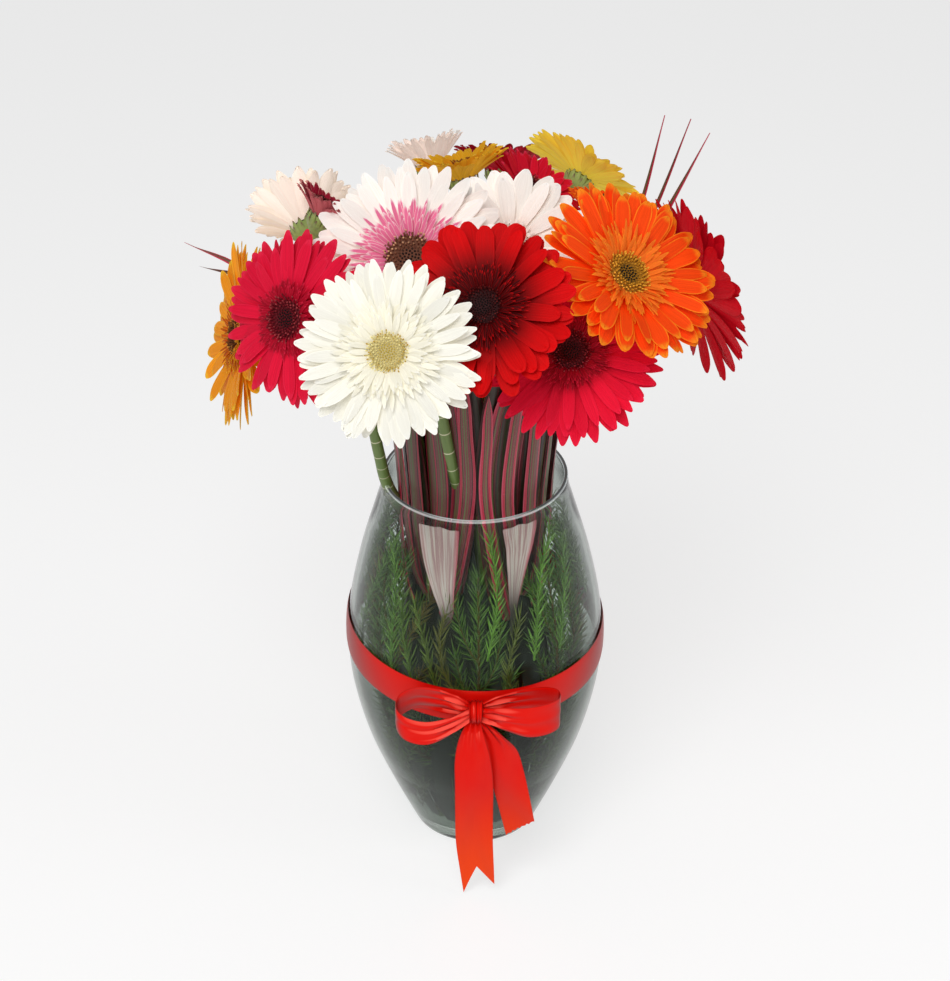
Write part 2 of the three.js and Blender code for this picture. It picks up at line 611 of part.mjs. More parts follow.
// A stalk of three-pointed rings, each turned by a sixth from the last, so that triangles stand
// between them. Every triangle with its point up is drawn out into a needle.
function needledStalk(curve) {
  const sideways = (turn, along) => {
    const first = V(0, 0, 1).cross(along).normalize();
    const second = along.clone().cross(first);
    return first.multiplyScalar(Math.cos(turn)).addScaledVector(second, Math.sin(turn));
  };
  const turned = (k, r) => (k + r / 2) * (2 * Math.PI / 3);
  const last = STALK_RINGS - 1;
  const points = [];
  for (let r = 0; r <= last; r++) {
    const centre = curve.getPointAt(r / last), along = curve.getTangentAt(r / last);
    const radius = STALK_RADIUS * (1 - 0.5 * r / last);
    for (let k = 0; k < 3; k++)
      points.push(centre.clone().addScaledVector(sideways(turned(k, r), along), radius));
  }
  const triangles = [[0, 2, 1]];
  for (let r = 0; r < last; r++) {
    const along = curve.getTangentAt(r / last);
    for (let k = 0; k < 3; k++) {
      const [a, b] = [3 * r + k, 3 * r + ((k + 1) % 3)];
      const [above, before] = [3 * r + 3 + k, 3 * r + 3 + ((k + 2) % 3)];
      const root = points[a].clone().add(points[b]).add(points[above]).divideScalar(3);
      const way = along.clone().multiplyScalar(Math.cos(rad(NEEDLE_LEAN)))
        .addScaledVector(sideways(turned(k + 0.5, r), along), Math.sin(rad(NEEDLE_LEAN)));
      const tip = points.push(needleTip(root, way)) - 1;
      triangles.push([a, b, tip], [b, above, tip], [above, a, tip], [a, above, before]);
    }
  }
  const top = points.push(needleTip(curve.getPointAt(1), curve.getTangentAt(1))) - 1;
  const end = 3 * last;
  triangles.push([end, end + 1, top], [end + 1, end + 2, top], [end + 2, end, top]);
  return solidOf(points, triangles);
}

function spray(stalks) {
  const stock = bar(sprayStock(stalks), [STOCK_RADIUS, STOCK_RADIUS], 5);
  return joined([stock, ...stalks.map((degrees) => needledStalk(stalkCurve(stalks, degrees)))]);
}

// The arrangement

function bloom(head, index) {
  const group = new THREE.Group();
  group.position.set(...head.at);
  group.quaternion.setFromUnitVectors(V(0, 0, 1), facing(head));
  group.add(named(`${head.name}_rays`, rays(head, index), head.colour, 0.6));
  group.add(named(`${head.name}_disc`, disc(head), head.eye, 0.8));
  return group;
}

const part = new THREE.Group();
part.name = "gerberas_in_a_vase";
part.add(named("vase", vase(), 0xdfe8e4, 0.05, 0.35));
const standing = [
  ...Object.keys(FEET).map((bunch) => HEADS.filter((head) => head.bunch === bunch)
    .map((head) => [...stemEnds(head), STEM_RADIUS])),
  ...SHOOTS.map((degrees) => [[...caneEnds(degrees), CANE_RADIUS]]),
  ...SPRAYS.map((stalks) => [[...sprayStock(stalks), STOCK_RADIUS]]),
];
part.add(named("water", water(standing), 0xd4e2e0, 0.05, 0.5));
part.add(named("ribbon_band", ribbonBand(), 0xe01810, 0.35));
part.add(named("ribbon_bow", ribbonBow(), 0xe81c12, 0.35));
part.add(named("ribbon_tail_left", tailLeft(), 0xe81c12, 0.35));
part.add(named("ribbon_tail_right", tailRight(), 0xe81c12, 0.35));
for (const bunch of Object.keys(FEET)) {
  const stems = HEADS.filter((head) => head.bunch === bunch).map(stem);
  part.add(named(`stems_${bunch}`, joined(stems), 0x7c9440, 0.6));
}
SHOOTS.forEach((_, i) => {
  part.add(named(`striped_leaves_${i + 1}`, shoot(i), 0x6a3a3c, 0.5));
});
SPRAYS.forEach((stalks, i) => {
  part.add(named(`conifer_spray_${i + 1}`, spray(stalks), 0x35522a, 0.7));
});
HEADS.forEach((head, i) => part.add(bloom(head, i)));

export default part;
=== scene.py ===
"""Twenty gerberas in a barrel-shaped glass vase tied with a satin ribbon, among long striped leaves
and conifer sprays. Shapes are worked out in millimetres, +Z up, -Y towards the side with the bow,
and go into their meshes in metres."""

import math
from collections import namedtuple

import bpy
import numpy as np
from bpy.props import FloatProperty, FloatVectorProperty, IntProperty, PointerProperty
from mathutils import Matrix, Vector


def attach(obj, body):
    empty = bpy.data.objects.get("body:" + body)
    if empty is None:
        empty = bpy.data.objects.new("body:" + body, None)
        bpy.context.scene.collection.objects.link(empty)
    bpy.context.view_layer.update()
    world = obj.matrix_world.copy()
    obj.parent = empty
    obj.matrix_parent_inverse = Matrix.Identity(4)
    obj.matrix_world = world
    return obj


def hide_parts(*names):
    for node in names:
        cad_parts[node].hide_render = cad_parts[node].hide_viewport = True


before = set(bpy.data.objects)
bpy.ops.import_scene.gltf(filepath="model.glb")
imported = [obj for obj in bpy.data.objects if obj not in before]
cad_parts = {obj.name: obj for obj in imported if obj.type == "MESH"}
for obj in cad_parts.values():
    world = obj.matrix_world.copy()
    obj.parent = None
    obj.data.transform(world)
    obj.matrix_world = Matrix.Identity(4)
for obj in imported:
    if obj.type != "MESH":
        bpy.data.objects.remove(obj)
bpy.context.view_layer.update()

bl_info = {
    "name": "Gerberas in a Vase",
    "version": (1, 0, 0),
    "blender": (4, 5, 0),
    "location": "3D View > Sidebar > Gerberas",
    "description": "A bouquet of gerberas in a glass vase with a satin ribbon",
    "category": "Add Mesh",
}

BODY = "root"
MM = 0.001
GOLDEN_ANGLE = 137.508

# Vase: outer radius and height at the points its outline passes through, from foot to rim
VASE_OUTLINE = [
    (44.5, 1.5), (60.5, 40), (75, 80), (84, 120), (86.3, 152),
    (84, 182), (76, 220), (65.5, 256), (61.5, 270), (60.5, 279),
]
VASE_FOOT = [(0.4, 0.9), (30, 0.9), (36, 0.5), (39, 0), (42.5, 0), (43.8, 0.5)]
RIM, GLASS_FLOOR = VASE_OUTLINE[-1][1], 10
# Radius of the lip's round edge
LIP_RADIUS = 1.25
GLASS_IOR, WATER_IOR = 1.3, 1.04
# Heights in metres above which the lip gets a painted highlight, and below which painted shade
# darkens the glass
LIP_HIGHLIGHT_FROM, PAINTED_SHADE_BELOW = 0.2785, 0.125

# Stems: foot of each group, how far apart its feet stand and how high, and where a stem leaves
# its straight part: the height, and the share of its flower's distance from the axis
FEET = {
    "front_left": (-13, -15), "front_right": (13, -17), "left": (-21, 5),
    "right": (19, 4), "back_left": (-8, 20), "back_right": (10, 21),
}
FOOT_SPREAD = 3.6
FOOT_HEIGHT = GLASS_FLOOR + 2.5
NECK_HEIGHT = 292
NECK_SHARE = 0.235
# The green cup under a flower: depth below the flower's centre, and radius
CUP = np.array([(18.6, 2.5), (16.5, 3.3), (14, 5.0), (11.5, 7.2), (9, 8.6), (7, 9.0), (5.4, 8.6)])
CUP_DEPTH = 18
# Radius at which the rays leave the receptacle
RAY_START = 8.5

# Striped leaves: degrees round the vase of each shoot, the height of its tips and of the place
# where the leaves pass the rim; radius and height of a cane's foot and top in the vase, and the
# height at which sheaths and long leaves leave it
SHOOTS = (-135, -45, 45, 135)
LEAF_TIPS, LEAF_RIM = (378, 378, 372, 372), 286
CANE_FOOT, CANE_TOP = (31, 13), (40, 222)
SHEATH_FORK, LEAF_FORK = 150, 187

# Conifer sprays: degrees round the vase of their stalks; radius and height of the stock's ends;
# height, distance from the glass and share of the spread at points of a stalk; the twigs' highest
# point, and how near the needles' tips come to the glass
SPRAYS = ((-140, -88, -40), (-20, 5, 32), (61, 90, 119), (148, 175, 202))
STOCK = ((35, 13), (42, 64))
STALK = np.array([(84, 13, 0.8), (126, 12, 1), (180, 12, 1), (236, 9.5, 1)]).T
TWIG_TOP = 262
NEEDLE_GAP = 1.2
# Twigs of each stalk: to its sides, and low ones at its foot
SIDE_TWIGS, LOW_TWIGS = 7, 3

# Ribbon: height of the band's middle, its dip and where that is in degrees, its mean radius, and
# the middle of the knot
BAND_HEIGHT, BAND_DIP, DIP_AT, BAND_RADIUS = 160, 7, -60, 87.5
KNOT = (0.5, -95.5, 156.2)

# Camera: place in metres, degrees downwards, lens and sensor width; what the lamps look at, and
# how bright the backdrop is
EYE, EYE_DOWN, LENS, SENSOR = (0, -1.203, 1.031), 32.5, 80, 36
AIM = (0, 0, 0.25)
BACKDROP = 0.8

# Cross-sections, point by point round them. Shares of the half width in a flat closed strip:
STRIP = np.array([1, 0.5, 0, -0.5, -1, -0.5, 0, 0.5])
# and for a ray the share, how far the upper face rises and the lower one falls, and which of the
# two it is, 1 or 0
RAY = np.array([(1, 0, 0, 0.5), (0.55, 1, 0, 1), (0, 0.3, 0, 1), (-0.55, 1, 0, 1),
                (-1, 0, 0, 0.5), (-0.5, 0, 0.8, 0), (0, 0, 1.3, 0), (0.5, 0, 0.8, 0)]).T
SLIM_RAY = np.array([(1, 0, 0, 0.5), (0, 1, 0, 1), (-1, 0, 0, 0.5), (0, 0, 1, 0)]).T
# Threads across a ribbon, by share of its half width
THREADS = np.linspace(-1, 1, 17)


def srgb(value):
    """A colour written as 0xrrggbb, as linear light."""
    parts = [((value >> shift) & 255) / 255 for shift in (16, 8, 0)]
    return tuple(c / 12.92 if c <= 0.04045 else ((c + 0.055) / 1.055) ** 2.4 for c in parts)


class Head(namedtuple(
    "Head", "name at turn lift radius cup disc bunch body edge throat back eye florets specks "
    "strands wild point rays inner fine fringe deep",
    defaults=(0.36, 0.4, 0.4, 27, None, 2.0, 56, 0.4),
)):
    """One gerbera: its centre, facing (degrees right of the front, degrees up), radius, the
    degrees that its rays rise, its disc's radius, its group of stems and its colours. strands is
    how far the thin inner florets reach over the radius, wild how uneven the rays are, point how
    pointed and rays how many, inner the strands' colour where it isn't the throat's, fine how
    wide they are, fringe how many stand in a ring, and deep how far the throat's colour
    reaches."""

    def facing(self):
        turn, lift = math.radians(self.turn), math.radians(self.lift)
        return np.array([
            math.sin(turn) * math.cos(lift), -math.cos(turn) * math.cos(lift), math.sin(lift),
        ])


HEADS = [
    Head("white_front", (-50, -106, 426), -6, 30, 55, 8, 12, "front_left",
         0xf5f3e8, 0xfaf9f2, 0xf3eed0, 0xf8f5e8, 0xc4aa38, 0xf4e8a6, 0xc09a38, strands=0.5,
         wild=0.6, inner=0xf7f3e0, fine=3.2, fringe=72, deep=0.25, point=0.45, rays=32),
    Head("crimson_front", (57, -63, 403), 0, 40, 56, 4, 12, "front_right",
         0xe60c32, 0xf01c40, 0x960418, 0xc81434, 0x0a0203, 0x6a0412, 0x9c3038, point=0.6,
         rays=30, deep=0.55, wild=0.55),
    Head("red_centre", (5, -79, 441), -16, 44, 56, 12, 12, "front_right",
         0xd40004, 0xe00206, 0x480204, 0xa80208, 0x060202, 0x3c0204, 0x6a100c, point=0.0,
         rays=23, deep=0.9, strands=0.42, fine=1.8, fringe=60),
    Head("orange_front", (89, -44, 443), 46, 50, 61, 18, 14, "front_right",
         0xff4a0a, 0xff9c20, 0xf03e04, 0xf08418, 0x0e0a06, 0xc88a20, 0xf8b438, strands=0.46,
         inner=0xfa7420, fine=2.4, fringe=72, point=0.3),
    Head("red_right", (137, 10, 408), 115, 10, 61, 10, 12, "right",
         0xc0040e, 0xd00a18, 0x700408, 0xb8081a, 0x0a0203, 0x52040a, 0x8a2a1c, rays=28),
    Head("white_pink", (-39, -16, 440), -5, 38, 63, 10, 16, "front_left",
         0xfff9f2, 0xfffdf8, 0xe86c94, 0xfcf0ea, 0x180a06, 0x84523a, 0xe0b084, strands=0.5,
         inner=0xee78a0, wild=0.6, fine=2.7, fringe=104, deep=0.46, rays=30),
    Head("crimson_left", (-112, -48, 417), -38, 25, 55, -4, 13, "front_left",
         0xe01238, 0xec284c, 0xa80422, 0xd01c40, 0x0c0304, 0x74081a, 0xa43c40, wild=0.9,
         point=0.5, deep=0.45, rays=29),
    Head("gold_left", (-150, 24, 367), -74, 14, 62, 10, 12, "left",
         0xfa9a18, 0xfcd038, 0xc85408, 0xe0b024, 0x2c1408, 0x6a3810, 0xd89030, wild=0.8,
         point=0.5),
    Head("white_middle", (22, 8, 440), 5, 45, 50, 12, 9, "right",
         0xfcf7f0, 0xfefcf8, 0xf4e4da, 0xf8f0e8, 0x2a140e, 0x8c5c40, 0xdca478, wild=0.5,
         rays=19, point=0.55, strands=0.24, fringe=40),
    Head("cream_back_left", (-108, 54, 432), -165, 25, 43, 42, 12, "left",
         0xfdf4e4, 0xfefaf0, 0xf0cec0, 0xfff2e4, 0x2c1010, 0x7c4438, 0xc89878, wild=1.0,
         point=0.9, rays=21),
    Head("dark_red_left", (-91, 22, 455), 120, 55, 29, 40, 10, "left",
         0x9c1430, 0xe09a90, 0x5c0c1c, 0xb85a60, 0x0c0304, 0x4a0610, 0x8a3028, wild=0.9,
         point=0.9),
    Head("white_back", (-31, 123, 445), -154, 60, 33, 51, 11, "back_left",
         0xfef6ec, 0xfffcf6, 0xf2ded2, 0xfff0e8, 0xb8a850, 0xe0d090, 0xc8a060, wild=0.8,
         point=0.8),
    Head("gold_top", (-9, 66, 462), 215, 70, 35, 37, 8, "back_right",
         0xeca81c, 0xf6d03c, 0x8a3a08, 0xe0a828, 0x1e0c06, 0x5c2a0e, 0xb87028, wild=0.8,
         point=0.5),
    Head("dark_red_back", (17, 144, 432), 178, 62, 36, 35, 11, "back_right",
         0x9c0a20, 0xb01a2c, 0x5c0610, 0xa01024, 0x0c0304, 0x4a0610, 0x8a3028, point=0.6),
    Head("crimson_top", (37, 62, 448), 75, 58, 37, 27, 11, "right",
         0xd40c2c, 0xe43c5c, 0x960a20, 0xc8143a, 0x0c0304, 0x5a0612, 0xb06048, wild=0.7,
         point=0.8),
    Head("orange_top", (80, 46, 445), 138, 72, 28, 42, 11, "right",
         0xfa4c0c, 0xff8420, 0xd03808, 0xf06014, 0x1e0c06, 0x6a3810, 0xd89030, point=0.5),
    Head("yellow_back", (71, 105, 443), 140, 36, 44, 12, 12, "right",
         0xf4cc2c, 0xfae04c, 0xb88818, 0xf6dc4c, 0x3c2408, 0x7c5818, 0xd0a840, wild=0.8,
         point=0.5),
    Head("gold_back_left", (-55, 89, 418), -150, 60, 30, 12, 11, "back_left",
         0xe0a428, 0xf2c844, 0x96500c, 0xd4a434, 0x1e0c06, 0x5c2a0e, 0xb87028),
    Head("crimson_low_back", (-54, 126, 372), -160, 5, 44, 8, 12, "back_left",
         0xd80e2c, 0xe4284a, 0x960a20, 0xc0183c, 0x0c0304, 0x5a0612, 0xb06048),
    Head("orange_low_back", (50, 126, 368), 160, 5, 44, 8, 12, "back_right",
         0xfa560e, 0xff9624, 0xd44008, 0xee7018, 0x1e0c06, 0x7c5018, 0xe0a030),
]

# Leaves that reach past the flowers: shoot, then the points that each passes through
LONG_LEAVES = [
    (2, [(50, 20, 285), (80, 40, 355), (104, 57, 438), (118, 62, 501)]),
    (2, [(46, 28, 285), (80, 48, 350), (114, 62, 436), (135, 68, 496)]),
    (2, [(41, 35, 285), (82, 56, 350), (121, 67, 430), (148, 74, 484)]),
    (3, [(-47, 28, 285), (-84, 54, 335), (-148, 84, 380), (-190, 86, 402)]),
    (3, [(-42, 34, 285), (-80, 62, 335), (-142, 92, 368), (-183, 92, 382)]),
]
# Broad pale sheaths behind the glass: shoot, then radius, degrees, height and width at points
SHEATHS = [
    (0, [(48, -122, 172, 3), (62, -110, 194, 4), (69, -105, 213, 8), (65, -108, 230, 15),
         (60.5, -111, 247, 22), (54.5, -114.5, 267, 27)]),
    (1, [(48, -60, 180, 3), (60, -66, 202, 4), (66.5, -68, 224, 7), (61, -64, 245, 15),
         (57.5, -61, 256, 20), (54.5, -59, 267, 25)]),
]
# Green canes that lean out of the vase between the leaves: shoot, then points
CANES = [
    (0, [(-8, -20, 240), (-9.5, -35, 282), (-14.5, -45, 312), (-20, -50, 348),
         (-24, -50, 372)]),
    (0, [(-40, -8, 236), (-56, -13, 276), (-61, -19, 304), (-67, -22, 345)]),
]
# Painted shade, near-black leaves that line the vase: height, its unevenness, distance from the
# glass and width
SHADE_LINING = np.array([
    (15, 0, 8, 7), (34, 1, 8, 11), (62, 2, 9, 13), (92, 4, 17, 16), (140, 5, 30, 19),
    (195, 8, 34, 17), (228, 14, 34, 6),
]).T
# Twigs against the glass: spray, how young and how rusty, then degrees and height at points
TWIGS = [
    (0, 0.95, 0, [(-84, 182), (-79, 212), (-77.5, 229), (-77.8, 244), (-80, 262)]),
    (0, 0.95, 0, [(-60, 176), (-55, 208), (-51.6, 222), (-47, 237), (-32, 256)]),
    (0, 0.7, 0, [(-133, 150), (-136, 182), (-137, 203), (-140, 223), (-150, 246)]),
    (1, 0.6, 0, [(-44, 176), (-38, 200), (-30, 222), (-24, 244)]),
    (3, 0.6, 0, [(190, 150), (196, 182), (203, 212), (212, 240)]),
    (0, 0.2, 0.2, [(-106, 142), (-110, 165), (-116, 190), (-124, 214)]),
    (0, 0.1, 0.4, [(-100, 158), (-106, 176), (-108, 198), (-104, 220)]),
    (0, 0.3, 0.1, [(-122, 150), (-124, 172), (-130, 196), (-133, 218)]),
    (0, 0.1, 0.3, [(-70, 150), (-74, 170), (-70, 192), (-66, 208)]),
    (3, 0.1, 0, [(176, 186), (180, 212), (186, 236), (194, 254)]),
    (3, 0.1, 0, [(166, 178), (169, 206), (173, 232), (178, 256)]),
    (3, 0, 0, [(158, 168), (160, 196), (163, 222), (167, 246)]),
    (1, 0.1, 0, [(-2, 186), (-8, 212), (-16, 236), (-24, 256)]),
    (1, 0.1, 0, [(12, 178), (9, 206), (4, 232), (-2, 256)]),
    (1, 0, 0, [(22, 168), (19, 196), (15, 222), (11, 246)]),
]

# Ribbon: points along each route with the strip's width, then its lean in degrees (loops only)
# and how much it is gathered. A tail's points have half its width instead.
LOOPS = [
    [(-2, -94, 157.5, 9, 0, 1), (-12, -93.5, 161, 16, 4, 0.8), (-24, -92, 163.5, 22, 12, 0.35),
     (-38, -88, 162, 25, 20, 0.1), (-48.5, -89, 156.5, 23, 14, 0), (-51, -94.5, 150.5, 20, 8, 0),
     (-45, -100, 146, 18, -4, 0.1), (-32, -103, 144.5, 17, -8, 0.2),
     (-18, -101.5, 148, 15, -2, 0.5), (-2, -96, 155, 9, 0, 1)],
    [(2, -96, 155, 9, 0, 1), (10, -99.5, 155.5, 14, 0, 0.8), (20, -103, 155.5, 19, 0, 0.45),
     (34, -105, 155.2, 24, 0, 0.15), (47, -101, 155, 25, 0, 0.05), (54.5, -94.5, 155.5, 25, 2, 0),
     (52.5, -88.5, 158, 25, 6, 0), (42, -88, 160, 24, 8, 0.1), (22, -92.5, 161, 19, 5, 0.5),
     (2, -94, 157.5, 9, 0, 1)],
]
LEFT_TAIL = [
    (-1.0, -96.5, 149, 4.5, 1), (-2, -100, 138, 8.5, 0.7), (-1.5, -101.5, 122, 11.6, 0.3),
    (-0.6, -100.8, 100, 12.6, 0.1), (-0.6, -99, 75, 12.6, 0), (-0.4, -97.6, 48, 12.4, 0),
    (1.2, -97, 24, 11.6, 0), (2.8, -96.8, 2, 10.6, 0),
]
RIGHT_TAIL = [
    (3.5, -95.5, 149, 3.5, 1), (10, -97, 140, 8, 0.7), (16.5, -96.3, 127, 10.6, 0.3),
    (20.5, -95, 108, 11.4, 0.1), (24.5, -93.3, 86, 11.6, 0), (28, -91.4, 66, 11.2, 0),
    (31.5, -89.4, 45, 10.6, 0),
]


def colour_setting(name, description, default):
    return FloatVectorProperty(name=name, description=description, default=default,
                               subtype="COLOR", size=3, min=0, max=1)


def length_setting(name, description, default, low, high):
    return FloatProperty(name=name, description=description, default=default, min=low, max=high,
                         unit="LENGTH", subtype="DISTANCE")


class VaseSettings(bpy.types.PropertyGroup):
    glass: colour_setting("Glass", "Tint of the glass", (0.80, 0.86, 0.82))
    water: colour_setting("Water", "Tint of the water", (0.90, 0.94, 0.90))
    wall: length_setting("Wall", "Thickness of the glass", 0.0035, 0.001, 0.008)
    level: length_setting("Water level", "Height of the water's surface", 0.060, 0.02, 0.25)


class RibbonSettings(bpy.types.PropertyGroup):
    colour: colour_setting("Satin", "Colour of the ribbon", srgb(0xe40404))
    width: length_setting("Width", "Width of the ribbon", 0.025, 0.01, 0.05)
    thickness: length_setting("Thickness", "Thickness of the satin", 0.0005, 0.0002, 0.001)


class FlowerSettings(bpy.types.PropertyGroup):
    thickness: length_setting("Ray thickness", "Thickness of a ray along its middle",
                              0.0006, 0.0003, 0.002)
    florets: IntProperty(name="Disc florets", description="Florets in the disc of each flower",
                         default=190, min=40, max=300)
    stem: length_setting("Stem", "Radius of a stem", 0.0027, 0.001, 0.005)
    green: colour_setting("Stem green", "Colour of the stems and cups", srgb(0x86a04a))


class FoliageSettings(bpy.types.PropertyGroup):
    leaf_width: length_setting("Leaf width", "Width of a striped leaf", 0.0095, 0.004, 0.02)
    margin: colour_setting("Leaf margin", "Colour of the striped leaves' edges", srgb(0xa81c38))
    midrib: colour_setting("Leaf middle", "Colour of the striped leaves' middle", srgb(0x556a34))
    needle: length_setting("Needle length", "Length of a conifer needle", 0.0125, 0.005, 0.04)
    conifer: colour_setting("Conifer green", "Colour of the needles", srgb(0x3a591c))


class StageSettings(bpy.types.PropertyGroup):
    floor: colour_setting("Floor", "Colour of the floor", (0.42, 0.42, 0.42))
    fill: FloatProperty(name="Fill light", description="Strength of the light from all round",
                        default=0.28, min=0, max=3)
    key: FloatProperty(name="Key light", description="Power of the large soft light",
                       default=26.0, min=0, max=200, unit="POWER", subtype="POWER")


# Meshes

def unit(v):
    """Vectors of length 1 along the given ones."""
    return v / np.maximum(np.linalg.norm(v, axis=-1, keepdims=True), 1e-9)


def draws(seed, *shape):
    """Numbers from -1 to 1 that are the same each run for the same seed."""
    return np.random.default_rng(seed).uniform(-1, 1, shape)


def as_share(drawn):
    """Numbers from -1 to 1 brought to 0 to 1."""
    return 0.5 + 0.5 * drawn


def blendwise(x, low, high):
    """0 below low, 1 above high, and a smooth step between."""
    t = np.clip((np.asarray(x, float) - low) / (high - low), 0, 1)
    return t * t * (3 - 2 * t)


def spline(points, count):
    """A smooth curve through the given points: on each stretch the cubic whose slopes are half
    the step between a point's neighbours. Works on any number of columns."""
    p = np.asarray(points, float)
    ends = np.vstack([2 * p[0] - p[1], p, 2 * p[-1] - p[-2]])
    t = np.linspace(0, len(p) - 1, count)
    i = np.minimum(t.astype(int), len(p) - 2)
    f = (t - i)[:, None]
    a, b, c, d = (ends[i + k] for k in range(4))
    return 0.5 * (2 * b + (c - a) * f + (2 * a - 5 * b + 4 * c - d) * f ** 2
                  + (3 * b - a - 3 * c + d) * f ** 3)


def round_axis(radius, degrees, height):
    """Points given round the vase's axis by radius, degrees and height."""
    radius, height = np.asarray(radius, float), np.asarray(height, float)
    a = np.radians(degrees)
    return np.stack(np.broadcast_arrays(radius * np.cos(a), radius * np.sin(a), height), -1)


def turned(profile, segments):
    """A profile of (radius, height) turned about the axis: ring k stands at k equal steps
    round."""
    profile = np.asarray(profile, float)
    return round_axis(profile[:, 0], (360 / segments * np.arange(segments))[:, None],
                      profile[:, 1])


def spun(x, y, z, a):
    """Points with x and y turned about the z axis by an angle."""
    return np.stack([x * np.cos(a) - y * np.sin(a), x * np.sin(a) + y * np.cos(a), z], -1)


def rings_along(path, radius, sides):
    """Round rings across a path, at each of its points a circle of the given radius in the plane
    across the path. The path may be one or many, with the points on the second last axis."""
    along = unit(np.gradient(path, axis=-2))
    side = unit(np.cross(along, (0.31, 0.11, 0.94)))
    other = np.cross(along, side)
    a = 2 * np.pi * np.arange(sides) / sides
    radius = np.broadcast_to(np.asarray(radius, float), path.shape[:-1])[..., None, None]
    circle = side[..., None, :] * np.cos(a)[:, None] + other[..., None, :] * np.sin(a)[:, None]
    return path[..., None, :] + radius * circle


def new_object(name, data):
    made = bpy.data.objects.new(name, data)
    bpy.context.scene.collection.objects.link(made)
    return made


class Skin:
    """The surface of one piece while it is put together: points, faces, and named values at the
    points."""

    def __init__(self, *values):
        self.points, self.quads, self.tris, self.count = [], [], [np.zeros((0, 3), int)], 0
        self.values = {name: [] for name in values}

    def add(self, stacks, loop=False, folded=False, **values):
        """Closed skins over many stacks of rings at once, shaped (stacks, rings, sides, 3), each
        ring anticlockwise as seen from the far end. Neighbouring rings are joined by
        four-cornered faces. The two ends are closed with fans, or where the ring is folded flat,
        by joining its two halves; loop joins the last ring to the first instead."""
        stacks = np.asarray(stacks, float)
        if stacks.ndim == 3:
            stacks = stacks[None]
        n, rings, sides, _ = stacks.shape
        index = self.count + np.arange(n * rings * sides).reshape(n, rings, sides)
        (low, high), (low_after, high_after) = (
            (i, np.roll(i, -1, axis=1)) if loop else (i[:, :-1], i[:, 1:])
            for i in (index, np.roll(index, -1, axis=2))
        )
        self.quads.append(np.stack([low, low_after, high_after, high], -1).reshape(-1, 4))
        first, last = index[:, 0], index[:, -1]
        if folded:
            half = sides // 2
            for ring, order in ((first, (3, 2, 1, 0)), (last, (0, 1, 2, 3))):
                one, two = ring[:, :half], ring[:, half:][:, ::-1]
                strip = np.stack([one[:, :-1], one[:, 1:], two[:, 1:], two[:, :-1]], -1)
                self.quads.append(strip[..., order].reshape(-1, 4))
        elif not loop:
            for ring, order in ((first, (0, 2, 1)), (last, (0, 1, 2))):
                hub = np.broadcast_to(ring[:, :1], ring[:, 1:-1].shape)
                fan = np.stack([hub, ring[:, 1:-1], ring[:, 2:]], -1)
                self.tris.append(fan[..., order].reshape(-1, 3))
        self.points.append(stacks.reshape(-1, 3))
        for name, kept in self.values.items():
            value = np.broadcast_to(np.asarray(values.get(name, 0.0), float), stacks.shape[:3])
            kept.append(value.reshape(-1))
        self.count += n * rings * sides

    def piece(self, name, finish, slot, stands_for, crease=60):
        """Puts the surface into a mesh in metres, with its values as attributes, and makes it
        the piece that stands for a CAD node."""
        points = np.concatenate(self.points) * MM
        quads, tris = np.concatenate(self.quads), np.concatenate(self.tris)
        corners = np.concatenate([quads.ravel(), tris.ravel()]).astype(np.int32)
        sizes = np.concatenate([np.full(len(quads), 4), np.full(len(tris), 3)])
        starts = np.concatenate([[0], np.cumsum(sizes)[:-1]]).astype(np.int32)
        mesh = bpy.data.meshes.new(name)
        mesh.vertices.add(len(points))
        mesh.vertices.foreach_set("co", points.astype(np.float32).ravel())
        mesh.loops.add(len(corners))
        mesh.loops.foreach_set("vertex_index", corners)
        mesh.polygons.add(len(sizes))
        mesh.polygons.foreach_set("loop_start", starts)
        mesh.polygons.foreach_set("use_smooth", np.ones(len(sizes), bool))
        mesh.update(calc_edges=True)
        if mesh.validate():
            raise RuntimeError(f"{name} has faces that don't hold")
        mesh.set_sharp_from_angle(angle=math.radians(crease))
        for key, value in self.values.items():
            attribute = mesh.attributes.new(key, "FLOAT", "POINT")
            attribute.data.foreach_set("value", np.concatenate(value).astype(np.float32))
        mesh.materials.append(finish.material)
        obj = new_object(name, mesh)
        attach(obj, BODY)
        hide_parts(stands_for)
        return obj


# Shader nodes

